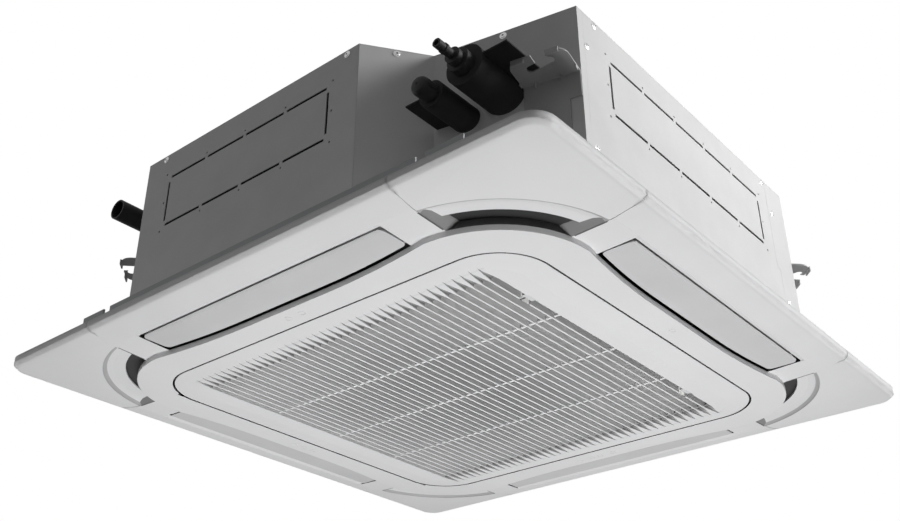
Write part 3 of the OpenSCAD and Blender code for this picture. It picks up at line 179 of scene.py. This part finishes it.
PANEL_TONES = ("#dfdfe0", "#e2e2e3", 0.42)
panel_abs = moulded("moulded_abs_panel", *PANEL_TONES)
flap_abs = moulded("moulded_abs_flap", "#c6c6c7", "#cbcbcc", 0.55, grain_mm=1.4,
                   grain_height_mm=0.1, edge_mm=1.6)
strip_abs = moulded("moulded_abs_strip", "#b2b4b6", "#b8babc", 0.5, edge_mm=2.5)
latch_abs = moulded("moulded_abs_latch", "#cfd0d1", "#d4d5d6", 0.42)
white_nylon = moulded("moulded_white_nylon", "#dcdcda", "#e3e3e1", 0.45)
black_nylon = moulded("moulded_black_nylon", "#2a2a2a", "#313131", 0.6, specular=0.3)
fan_plastic = moulded("glass_filled_fan_plastic", "#26282a", "#2d2f31", 0.5, grain_mm=1.5,
                      specular=0.35)
pump_plastic = moulded("moulded_pump_plastic", "#33363a", "#3b3e42", 0.45, specular=0.4)
filter_plastic = moulded("filter_polypropylene", "#232526", "#2a2c2d", 0.6, specular=0.3)

# %% [markdown]
# **Painted shade.** Some places of the panel look dark in the photo: the ducts behind the flaps
# and in the corner outlets, the ramps at their ends, the gap round the grille and the deep ends
# of its slots. The photo doesn't tell shade from a dark lining, and this room's broad lamps leave
# them too light, so a darker colour is painted on the moulding's own faces. It is tied to places
# on the object and stays put in every view, but it also stays dark under other light. Its mask is
# a zone: 1 between two distances from a square with round corners and between two heights.

# %% Masks for painted shade
def unsigned(tree, coords):
    """The object's coordinates without their signs."""
    return add(tree, "ShaderNodeVectorMath", links=[(0, coords, "Object")], operation="ABSOLUTE")


def unsigned_parts(tree, coords):
    """The same coordinates as separate X, Y and Z."""
    return add(tree, "ShaderNodeSeparateXYZ", links=[("Vector", unsigned(tree, coords), 0)])


def zone(tree, coords, corner, reach_mm, heights_mm):
    """1 between two distances from the square whose corners are at that place, and two heights."""
    size = unsigned(tree, coords)
    past = add(tree, "ShaderNodeVectorMath", {1: (corner * MM, corner * MM, 1)}, [(0, size, 0)],
               operation="SUBTRACT")
    clear = add(tree, "ShaderNodeVectorMath", {1: (0, 0, 0)}, [(0, past, 0)], operation="MAXIMUM")
    reach = add(tree, "ShaderNodeVectorMath", links=[(0, clear, 0)], operation="LENGTH")
    height = add(tree, "ShaderNodeSeparateXYZ", links=[("Vector", coords, "Object")])
    mask = None
    for source, out, limits in ((reach, "Value", reach_mm), (height, "Z", heights_mm)):
        for operation, limit in zip(("GREATER_THAN", "LESS_THAN"), limits):
            passed = add(tree, "ShaderNodeMath", {1: limit * MM}, [(0, source, out)],
                         operation=operation)
            mask = passed if mask is None else add(
                tree, "ShaderNodeMath", links=[(0, mask, 0), (1, passed, 0)], operation="MULTIPLY")
    return mask


def along_side(tree, coords, operation, limit):
    """1 where the distance from the middle of the nearest side passes the limit, in millimetres."""
    parts = unsigned_parts(tree, coords)
    along = add(tree, "ShaderNodeMath", links=[(0, parts, "X"), (1, parts, "Y")],
                operation="MINIMUM")
    return add(tree, "ShaderNodeMath", {1: limit * MM}, [(0, along, 0)], operation=operation)


def sloped(tree, coords):
    """1 where a surface is neither level nor upright, as the ramps of an outlet are."""
    tilt = add(tree, "ShaderNodeVectorMath", links=[(0, coords, "Normal")], operation="ABSOLUTE")
    part = add(tree, "ShaderNodeSeparateXYZ", links=[("Vector", tilt, 0)])
    return add(tree, "ShaderNodeMath", {1: 0.5, 2: 0.42}, [(0, part, "Z")], operation="COMPARE")


def paint_shade(tree, shader, masks, code):
    """Paints shade: mixes a flat dark colour over the surface's colour where all the masks are 1.
    """
    mask = masks[0]
    for other in masks[1:]:
        mask = add(tree, "ShaderNodeMath", links=[(0, mask, 0), (1, other, 0)],
                   operation="MULTIPLY")
    under = shader.inputs["Base Color"].links[0].from_socket
    both = add(tree, "ShaderNodeMix", links=[("Factor", mask, 0)], data_type="RGBA")
    both.inputs[7].default_value = linear(code)
    tree.links.new(under, both.inputs[6])
    tree.links.new(both.outputs[2], shader.inputs["Base Color"])


def tree_of(material):
    """A finished material's tree, its shader and its coordinates."""
    tree = material.node_tree
    coords = next(n for n in tree.nodes if n.bl_idname == "ShaderNodeTexCoord")
    return tree, tree.nodes["Principled BSDF"], coords


# %% [markdown]
# The panel's outer edge is rounded far more than its other edges, 9 mm against 0.8 mm. The round
# is in the shading, and its radius grows over the last few millimetres before the edge.

# %% Wide round of the outer edge
RIM_STARTS, RIM_FULL, EDGE_ROUND, RIM_ROUND = 455, 462, 0.8, 9


def wide_rim(material):
    tree, shader, coords = tree_of(material)
    edge = next(n for n in tree.nodes if n.bl_idname == "ShaderNodeBevel")
    parts = unsigned_parts(tree, coords)
    out = add(tree, "ShaderNodeMath", links=[(0, parts, "X"), (1, parts, "Y")],
              operation="MAXIMUM")
    radius = add(tree, "ShaderNodeMapRange",
                 {"From Min": RIM_STARTS * MM, "From Max": RIM_FULL * MM,
                  "To Min": EDGE_ROUND * MM, "To Max": RIM_ROUND * MM}, [("Value", out, 0)])
    tree.links.new(radius.outputs["Result"], edge.inputs["Radius"])


print("masks ready")

# %% [markdown]
# The zones below are in millimetres and follow the part's source. The outlets are measured from a
# square of half width 241, and the gap round the grille from one of 249.5.

# %% Panel frame: painted shade in the ducts, on the ramps and on the wall of the gap
OUTLET_CORNER, DUCT_REACH, DUCT_HEIGHTS, DUCT_STEP = 241, (118, 184.6), (-23.2, -9.6), -11.8
RAMP_REACH, RAMP_HEIGHTS = (110, 182.4), (-23.4, -9.6)
FLAP_DUCT_ENDS, CORNER_DUCT_STARTS = 222.1, 272
GAP_CORNER, GAP_WALL_REACH, GAP_WALL_HEIGHTS = 249.5, (76.8, 80), (-30.7, -12)
DUCT_SHADE, DUCT_SHADE_LOW, DUCT_SHADE_HIGH = "#1c1c1c", "#666666", "#363636"
RAMP_SHADE, GAP_SHADE = "#8c8c8c", "#333333"
frame_abs = moulded("moulded_abs_frame", *PANEL_TONES)
wide_rim(frame_abs)
tree, shader, coords = tree_of(frame_abs)
paint_shade(tree, shader, [zone(tree, coords, OUTLET_CORNER, DUCT_REACH, DUCT_HEIGHTS),
                      along_side(tree, coords, "LESS_THAN", FLAP_DUCT_ENDS)], DUCT_SHADE)
past_bridge = along_side(tree, coords, "GREATER_THAN", CORNER_DUCT_STARTS)
for heights, tone in (((DUCT_HEIGHTS[0], DUCT_STEP), DUCT_SHADE_LOW),
                      ((DUCT_STEP, DUCT_HEIGHTS[1]), DUCT_SHADE_HIGH)):
    paint_shade(tree, shader,
           [zone(tree, coords, OUTLET_CORNER, DUCT_REACH, heights), past_bridge], tone)
paint_shade(tree, shader, [zone(tree, coords, GAP_CORNER, GAP_WALL_REACH, GAP_WALL_HEIGHTS)], GAP_SHADE)
paint_shade(tree, shader, [zone(tree, coords, OUTLET_CORNER, RAMP_REACH, RAMP_HEIGHTS),
                      sloped(tree, coords)], RAMP_SHADE)
print("panel frame:", len(tree.nodes), "nodes")

# %% Corner covers: painted shade on the edge of the dish and on the ramps
DISH_EDGE_REACH, DISH_EDGE_HEIGHTS, DISH_EDGE_SHADE = (182.5, 188.3), (-22, -17), "#b2b2b2"
cover_abs = moulded("moulded_abs_cover", *PANEL_TONES)
wide_rim(cover_abs)
tree, shader, coords = tree_of(cover_abs)
paint_shade(tree, shader, [zone(tree, coords, OUTLET_CORNER, DISH_EDGE_REACH, DISH_EDGE_HEIGHTS)],
       DISH_EDGE_SHADE)
paint_shade(tree, shader, [zone(tree, coords, OUTLET_CORNER, RAMP_REACH, RAMP_HEIGHTS),
                      sloped(tree, coords)], RAMP_SHADE)
print("corner covers:", len(tree.nodes), "nodes")

# %% Grille: painted shade on its side of the gap and in the run-outs of the slots, darker towards their deep end
RUN_OUT_TOP, RUN_OUT_DEEP = -33.65, -29.5
RUN_OUTS_START, RUN_OUTS_END, FIELD_HALF, RUN_OUT_SHADE = 264.2, 296, 264, "#5c5c5c"
GRILLE_WALL_REACH, GRILLE_WALL_HEIGHTS, GRILLE_WALL_SHADE = (73.9, 76), (-30.5, -12), "#444444"
grille_abs = moulded("moulded_abs_grille", *PANEL_TONES)
tree, shader, coords = tree_of(grille_abs)
paint_shade(tree, shader, [zone(tree, coords, GAP_CORNER, GRILLE_WALL_REACH, GRILLE_WALL_HEIGHTS)],
       GRILLE_WALL_SHADE)
parts = unsigned_parts(tree, coords)
height = add(tree, "ShaderNodeSeparateXYZ", links=[("Vector", coords, "Object")])
masks = [add(tree, "ShaderNodeMapRange",
             {"From Min": RUN_OUT_TOP * MM, "From Max": RUN_OUT_DEEP * MM},
             [("Value", height, "Z")])]
for part, operation, limit in (("Y", "GREATER_THAN", RUN_OUTS_START),
                               ("Y", "LESS_THAN", RUN_OUTS_END),
                               ("X", "LESS_THAN", FIELD_HALF)):
    masks.append(add(tree, "ShaderNodeMath", {1: limit * MM}, [(0, parts, part)],
                     operation=operation))
paint_shade(tree, shader, masks, RUN_OUT_SHADE)
print("grille:", len(tree.nodes), "nodes")

# %% [markdown]
# **Foams.** The pipes wear black nitrile foam with a matt skin, the body is lined with white
# bead foam, and a grey strip seals the panel. All scatter light softly, so they are rough, with
# a cellular bump: 1.5 mm cells in the pipe foam, and beads of 3.5 mm in the white foam.

# %% Foams
def foam(name, dark, light, cell_mm, dent_mm, specular):
    m, tree, shader, coords = start(name, Roughness=0.8, IOR=1.45, Specular_IOR_Level=specular)
    two_tones(tree, coords, shader, dark, light, 40)
    cells = add(tree, "ShaderNodeTexVoronoi", {"Scale": 1 / (cell_mm * MM)},
                [("Vector", coords, "Object")])
    bump = add(tree, "ShaderNodeBump", {"Strength": 0.6, "Distance": dent_mm * MM},
               [("Height", cells, "Distance")])
    tree.links.new(bump.outputs["Normal"], shader.inputs["Normal"])
    return m


pipe_foam = foam("black_nitrile_foam", "#2a2a2a", "#313131", 1.5, 0.05, 0.35)
bead_foam = foam("white_bead_foam", "#e6e6e2", "#ededea", 3.5, 0.1, 0.4)
seal_foam = foam("grey_sealing_foam", "#4c4f52", "#565a5d", 1.5, 0.05, 0.3)
# Painted shade, near-black and without sheen: the bars in the screw heads and the sheets behind the
# knock-outs use it, and no felt lies there.
shade_paint = foam("painted_shade_black", "#040404", "#080808", 0.8, 0.03, 0.05)

# %% [markdown]
# **Bare metals.** Zinc-plated screws, a ground shaft, drawn copper tube and rolled aluminium
# fins. A metal's colour is its reflection, so it is fully metallic, and how it was made sets the
# roughness: low for plating and grinding, higher for a casting.

# %% Bare metals
def bare_metal(name, dark, light, roughness, size_mm=12):
    m, tree, shader, coords = start(name, Metallic=1.0)
    ramp, patches = two_tones(tree, coords, shader, dark, light, size_mm)
    wear = add(tree, "ShaderNodeMapRange", {"To Min": roughness - 0.06, "To Max": roughness + 0.08},
               [("Value", patches, "Fac")])
    tree.links.new(wear.outputs["Result"], shader.inputs["Roughness"])
    return m


screw_zinc = bare_metal("zinc_plated_screw", "#dcdcdc", "#e8e8e8", 0.3)
ground_steel = bare_metal("ground_steel", "#b4b6b8", "#c2c4c6", 0.28)
copper = bare_metal("drawn_copper", "#b5724c", "#c27e57", 0.32)
fin_aluminium = bare_metal("rolled_aluminium_fin", "#c6cacd", "#d2d6d9", 0.35)
cast_metal = bare_metal("cast_motor_housing", "#6a6e73", "#777b80", 0.5)

# %% [markdown]
# **Circuit board.** Glass-fibre laminate under a green solder mask, which is smooth and glossy.

# %% Circuit board
solder_mask = moulded("solder_mask_board", "#1f5c3a", "#277047", 0.3, grain_mm=0.8, edge_mm=0.3)

# %% [markdown]
# ## Finishes on the solids
# Most solids keep their own shape and only get a finish here, one list of nodes for each
# material.

# %% Finishes on the solids
finishes = {
    casing_steel: ["top_plate", "front_plate", "right_plate", "back_plate", "left_plate",
                   "piping_corner_plate", "back_right_corner_plate", "back_left_corner_plate",
                   "front_left_corner_plate", "coil_end_plates", "control_box",
                   "control_box_cover"],
    hanger_steel: ["front_right_hanger", "back_right_hanger", "back_left_hanger",
                   "front_left_hanger"],
    screw_zinc: ["casing_screws", "panel_screws"],
    ground_steel: ["motor_shaft", "fan_nut", "grille_hinge_pins"],
    cast_metal: ["fan_motor"],
    copper: ["coil_tubes", "gas_pipe", "liquid_pipe"],
    fin_aluminium: ["coil_fins"],
    bead_foam: ["foam_liner", "drain_pan"],
    pipe_foam: ["gas_pipe_insulation", "liquid_pipe_insulation", "motor_mounts"],
    seal_foam: ["outlet_seal"],
    black_nylon: ["drain_socket", "gas_pipe_cap", "liquid_pipe_cap"],
    fan_plastic: ["turbo_fan"],
    pump_plastic: ["drain_pump", "float_switch"],
    white_nylon: ["pump_hose", "float", "terminal_block", "flap_motors", "bell_mouth"],
    solder_mask: ["circuit_board"],
    frame_abs: ["panel_frame"],
    cover_abs: ["front_right_cover", "back_right_cover", "back_left_cover", "front_left_cover"],
    grille_abs: ["intake_grille"],
    strip_abs: ["edge_strip"],
    flap_abs: ["front_flap", "right_flap", "back_flap", "left_flap"],
    latch_abs: ["back_latch", "front_latch"],
    filter_plastic: ["air_filter"],
}
for material, names in finishes.items():
    for name in names:
        node = nodes[name]
        if not node.data.materials:
            node.data.materials.append(material)
        for spot in node.material_slots:
            spot.material = material
print("finished:", sum(len(names) for names in finishes.values()), "of", len(nodes))

# %% [markdown]
# ## Tools for new pieces
# A new piece is made in a bmesh, in millimetres, and becomes an object at the origin with its
# place in its mesh. It rides on the body that carries it. Small pieces that sit on a wall are
# made flat first: X runs along the wall, minus Y points out of the body, and a matrix puts them
# on the wall.

# %% Tools for new pieces
def mesh_of(bm, name):
    """A mesh made from a bmesh, which is then freed."""
    mesh = bpy.data.meshes.new(name)
    bm.to_mesh(mesh)
    bm.free()
    return mesh


def finish_piece(bm, name, body, material, replaces=()):
    """Turns a bmesh in millimetres into a piece that rides on a body."""
    bmesh.ops.scale(bm, vec=(MM, MM, MM), verts=bm.verts)
    bmesh.ops.recalc_face_normals(bm, faces=bm.faces)
    mesh = mesh_of(bm, name)
    mesh.materials.append(material)
    piece = bpy.data.objects.new(name, mesh)
    bpy.context.scene.collection.objects.link(piece)
    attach(piece, body)
    if replaces:
        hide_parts(*replaces)
    print(name, "faces:", len(mesh.polygons))
    return piece


def add_box(bm, low, high, place=None, round_edge=0.0):
    """A box between two corners, with its edges rounded, then put in its place."""
    before = set(bm.verts)
    size = Vector(high) - Vector(low)
    made = bmesh.ops.create_cube(bm, size=1)["verts"]
    bmesh.ops.scale(bm, vec=size, verts=made)
    bmesh.ops.translate(bm, vec=(Vector(high) + Vector(low)) / 2, verts=made)
    if round_edge:
        edges = list({e for v in made for e in v.link_edges})
        bmesh.ops.bevel(bm, geom=edges, offset=round_edge, segments=2, affect="EDGES",
                        profile=0.5, material=-1)
        made = [v for v in bm.verts if v not in before]
    if place is not None:
        bmesh.ops.transform(bm, matrix=place, verts=made)


WALLS = {
    "front": ((-270, -420), 0.0), "corner_side": ((166, -420), 54.4),
    "corner_back": ((224, -339), 11.53),
    "right": ((420, -287), 90.0), "back_right": ((420, 270), 135.0), "back": ((270, 420), 180.0),
    "back_left": ((-270, 420), -135.0), "left": ((-420, 270), -90.0),
    "front_left": ((-420, -270), -45.0),
}


def on_wall(wall, s, z):
    """The frame at distance s along a wall of the body and height z, in millimetres."""
    (x, y), angle = WALLS[wall]
    turn = Matrix.Rotation(math.radians(angle), 4, "Z")
    return Matrix.Translation((x, y, z)) @ turn @ Matrix.Translation((s, 0, 0))


print("walls:", len(WALLS))

# %% [markdown]
# ## Screws of the body
# The sheets are held by zinc-plated washer-head screws with a cross recess. Each head is a profile
# spun round its axis. The recess isn't cut: two crossed dark bars of painted shade, 0.02 mm proud
# of the head, stand for it and the shade inside it.

# %% A profile spun round an axis
def lathe(bm, profile, steps, place=Matrix(), ring=False):
    """Spins (radius, height) points round Z. The profile ends on the axis, or closes to a ring."""
    before = set(bm.verts)
    points = profile if ring else [(0, profile[0][1]), *profile, (0, profile[-1][1])]
    made = [bm.verts.new((r, 0, z)) for r, z in points]
    pairs = zip(made, made[1:] + made[:1] if ring else made[1:])
    edges = [bm.edges.new(pair) for pair in pairs]
    bmesh.ops.spin(bm, geom=made + edges, cent=(0, 0, 0), axis=(0, 0, 1), angle=2 * math.pi,
                   steps=steps, use_merge=True)
    new = [v for v in bm.verts if v not in before]
    bmesh.ops.remove_doubles(bm, verts=new, dist=0.01)
    bmesh.ops.transform(bm, matrix=place, verts=[v for v in bm.verts if v not in before])


HEAD_R, HEAD_H, SHANK_R, SHANK_L = 5.0, 1.8, 1.9, 8.0
CROSS_L, CROSS_W = 1.7, 0.45
HEAD_PROFILE = [(SHANK_R, -SHANK_L), (SHANK_R, 0), (HEAD_R, 0), (HEAD_R, 0.5),
                (0.74 * HEAD_R, 0.7), (0.68 * HEAD_R, 1.3), (0.45 * HEAD_R, HEAD_H - 0.02)]
print("head profile points:", len(HEAD_PROFILE))

# %% All screws
SCREWS = [("front", 41, 273), ("front", 415, 273),
          ("corner_side", 49.8, 273), ("corner_back", 100, 273),
          ("back_right", 106, 273), ("back_left", 106, 273), ("front_left", 106, 273),
          ("back", 41, 273), ("back", 499, 273), ("left", 41, 273), ("left", 499, 273),
          ("right", 27, 273), ("right", 492, 273), ("right", 6, 227), ("right", 513, 227),
          ("right", 11, 77), ("right", 521, 77)]
outwards = Matrix.Rotation(math.radians(90), 4, "X")
bm, bars = bmesh.new(), bmesh.new()
for k, (wall, at, z) in enumerate(SCREWS):
    place = on_wall(wall, at, z) @ outwards @ Matrix.Rotation(math.radians(37 * k), 4, "Z")
    lathe(bm, HEAD_PROFILE, 20, place)
    for x, y in ((CROSS_L, CROSS_W), (CROSS_W, CROSS_L)):
        add_box(bars, (-x, -y, HEAD_H - 1), (x, y, HEAD_H), place)
finish_piece(bm, "washer_head_screws", "indoor_unit", screw_zinc, ["casing_screws"])
# The bars are painted shade: near-black, with no sheen, where the recess would lie in shade.
finish_piece(bars, "screw_cross_recesses", "indoor_unit", shade_paint)

# %% [markdown]
# ## Cap of the liquid pipe
# A moulded cap with a domed end and three long grooves. The grooves are made by drawing the
# surface in along three lines of the turned shape.

# %% Liquid pipe cap
CAP_R, CAP_L, CAP_AT = 13.0, 26.0, (269.6, -398, 159.6)
GROOVE, GROOVE_HALF, GROOVE_TURNS = 1.3, 5, (-18, 18, 54)
GROOVE_LOW, GROOVE_HIGH = 3.2, 18.2
CAP_PROFILE = [(CAP_R - 0.8, 0), (CAP_R, 0.8), (CAP_R, 3), (CAP_R, 3.4), (CAP_R, 18),
               (CAP_R, 18.4), (CAP_R - 0.9, 21.6), (CAP_R - 3, 24.2), (5.5, 25.6),
               (1.5, CAP_L), (1.3, CAP_L - 0.8)]
bm = bmesh.new()
lathe(bm, CAP_PROFILE, 60)
for v in bm.verts:
    turn = math.degrees(math.atan2(v.co.y, v.co.x))
    in_groove = any(abs(turn - middle) < GROOVE_HALF for middle in GROOVE_TURNS)
    if GROOVE_LOW < v.co.z < GROOVE_HIGH and in_groove:
        v.co.x *= 1 - GROOVE / CAP_R
        v.co.y *= 1 - GROOVE / CAP_R
bmesh.ops.transform(bm, matrix=Matrix.Translation(CAP_AT) @ outwards, verts=bm.verts)
finish_piece(bm, "liquid_pipe_domed_cap", "indoor_unit", black_nylon,
             ["liquid_pipe_cap"])

# %% [markdown]
# ## Pressings of the hanger brackets
# Each bracket is stamped: two small gussets stiffen the fold under the hook plate, and a lug
# stands at each side edge of the plate. The square with its pip and the two creases lie inside
# the bracket's own 2 mm thickness, so they don't show.

# %% Hanger pressings
HANGERS = {"front_right": ("corner_back", 162.45), "back_right": ("back_right", 70.7),
           "back_left": ("back_left", 141.4), "front_left": ("front_left", 70.7)}
HOOK_Z, PRESSED_OUT, PRESSED_IN, PRESSED_ROUND = 177, -0.6, 0.2, 0.2
GUSSETS, GUSSET_HALF, GUSSET_Y, GUSSET_Z = (-20, 12), 1.3, (-6.5, -1.8), (-4.5, 0.3)
LUGS, LUG_HALF, LUG_Y, LUG_Z = (-36.2, 36.2), 0.8, (-15, -8), (-4, 0.4)
SQUARE = [((18, -33), (34, -32)), ((18, -15), (34, -14)), ((18, -33), (19, -14)),
          ((33, -33), (34, -14))]
PIP = [((25.2, -24.5), (26.8, -22.9))]
CREASES = [((-22, -70), (-21, -10)), ((-14, -62), (-13, -18))]
for corner, (wall, at) in HANGERS.items():
    bm = bmesh.new()
    place = on_wall(wall, at, HOOK_Z)
    for xs, half, ys, zs, edge in ((GUSSETS, GUSSET_HALF, GUSSET_Y, GUSSET_Z, 0.5),
                                   (LUGS, LUG_HALF, LUG_Y, LUG_Z, 0.3)):
        for x in xs:
            add_box(bm, (x - half, ys[0], zs[0]), (x + half, ys[1], zs[1]), place, edge)
    for (x0, z0), (x1, z1) in SQUARE + PIP + CREASES:
        add_box(bm, (x0, PRESSED_OUT, z0), (x1, PRESSED_IN, z1), place, PRESSED_ROUND)
    finish_piece(bm, corner + "_hanger_pressings", "indoor_unit", hanger_steel)

# %% [markdown]
# ## Index marks beside the flaps
# Faint raised rings on the flat centre count the flaps: one, two, three and four. Each is a small
# triangular profile, closed to a ring and spun.

# %% Index rings
RING_PROFILE, FACE_Z = [(5.0, 0.1), (4.6, -0.35), (4.2, 0.1)], -30.75
RINGS = [(347, 1), (-13, -347), (11, -347), (-348, -20), (-348, 0), (-348, 20),
         (-33, 350), (-8, 350), (8, 350), (33, 350)]
bm = bmesh.new()
for x, y in RINGS:
    lathe(bm, RING_PROFILE, 24, Matrix.Translation((x, y, FACE_Z)), ring=True)
finish_piece(bm, "flap_index_rings", "indoor_unit", panel_abs)

# %% [markdown]
# ## Painted shade behind the duct knock-outs
# Two sides of the body have a knock-out for a branch duct: slots cut round a rectangle, which look
# black. A thin black sheet of painted shade behind each stands for the shade inside the body,
# whatever lies behind the real ones.

# %% Painted shade behind the knock-outs
PITCH, KNOCK_START, KNOCK_Z = 81.5, 57, 194
PAST_END, SHADE_SHEET_HALF_H, SHADE_SHEET_FROM, SHADE_SHEET_TO = 14, 58, 1.22, 1.46
for wall, count in (("front", 4), ("right", 5)):
    bm = bmesh.new()
    add_box(bm, (-PAST_END, SHADE_SHEET_FROM, -SHADE_SHEET_HALF_H),
            (count * PITCH + PAST_END, SHADE_SHEET_TO, SHADE_SHEET_HALF_H), on_wall(wall, KNOCK_START, KNOCK_Z))
    finish_piece(bm, wall + "_knock_out_shade_sheet", "indoor_unit", shade_paint)

# %% [markdown]
# ## Room and light
# The unit hangs with its panel in the plane of the ceiling, over a pale floor. A broad soft lamp
# on the right, above the panel, lights the right side and leaves the panel's own steps in shade.
# Another below lights the panel. A weak one fills in from the left, and the front side stays in
# shade, as in the photo. The world is white to the eye, grey in reflections, and lights softly.
# The lamps leave the floor dark, so it also glows, for the camera only.

# %% Floor
FLOOR_HALF, FLOOR_Z = 6, -2.6
bm = bmesh.new()
bmesh.ops.create_grid(bm, x_segments=1, y_segments=1, size=FLOOR_HALF)
bmesh.ops.translate(bm, verts=bm.verts, vec=(0, 0, FLOOR_Z))
floor = bpy.data.objects.new("studio_floor", mesh_of(bm, "studio_floor"))
bpy.context.scene.collection.objects.link(floor)
pale, tree, shader, coords = start("pale_studio_floor", Roughness=0.9)
seen = add(tree, "ShaderNodeLightPath")
tone = add(tree, "ShaderNodeMix", links=[("Factor", seen, "Is Camera Ray")], data_type="RGBA")
tone.inputs[6].default_value = linear("#707070")
tone.inputs[7].default_value = linear("#e8e8e8")
tree.links.new(tone.outputs[2], shader.inputs["Base Color"])
shader.inputs["Emission Color"].default_value = linear("#c9c9c9")
tree.links.new(seen.outputs["Is Camera Ray"], shader.inputs["Emission Strength"])
floor.data.materials.append(pale)

# %% World
AMBIENT, MIRRORED = 0.14, 0.55
world = bpy.data.worlds.new("studio")
bpy.context.scene.world = world
world.use_nodes = True
tree = world.node_tree
rays = add(tree, "ShaderNodeLightPath")
mirrored = add(tree, "ShaderNodeMapRange", {"To Min": AMBIENT, "To Max": MIRRORED},
               [("Value", rays, "Is Glossy Ray")])
shown = add(tree, "ShaderNodeMath",
            links=[(0, rays, "Is Camera Ray"), (1, rays, "Is Transmission Ray")],
            operation="MAXIMUM")
level = add(tree, "ShaderNodeMath", links=[(0, mirrored, "Result"), (1, shown, "Value")],
            operation="MAXIMUM")
background = tree.nodes["Background"]
background.inputs["Color"].default_value = (1, 1, 1, 1)
tree.links.new(level.outputs["Value"], background.inputs["Strength"])

# %% Lamps
def soft_lamp(name, eye, target, size, power, spread):
    data = bpy.data.lights.new(name, "AREA")
    data.shape, data.size, data.energy, data.spread = "SQUARE", size, power, math.radians(spread)
    o = bpy.data.objects.new(name, data)
    ahead = (Vector(target) - Vector(eye)).normalized()
    m = ahead.to_track_quat("-Z", "Y").to_matrix().to_4x4()
    m.translation = Vector(eye)
    o.matrix_world = m
    bpy.context.scene.collection.objects.link(o)


soft_lamp("lamp_right", (3.6, 2.0, 1.5), (0, 0, 0.12), size=1.3, power=14, spread=50)
soft_lamp("lamp_below", (0.6, -0.1, -2.4), (0, 0, 0), size=1.5, power=12.2, spread=70)
soft_lamp("lamp_left", (-3.4, -1.1, 0.4), (0, 0, 0.12), size=1.3, power=1.4, spread=50)
print("lamps: 3")
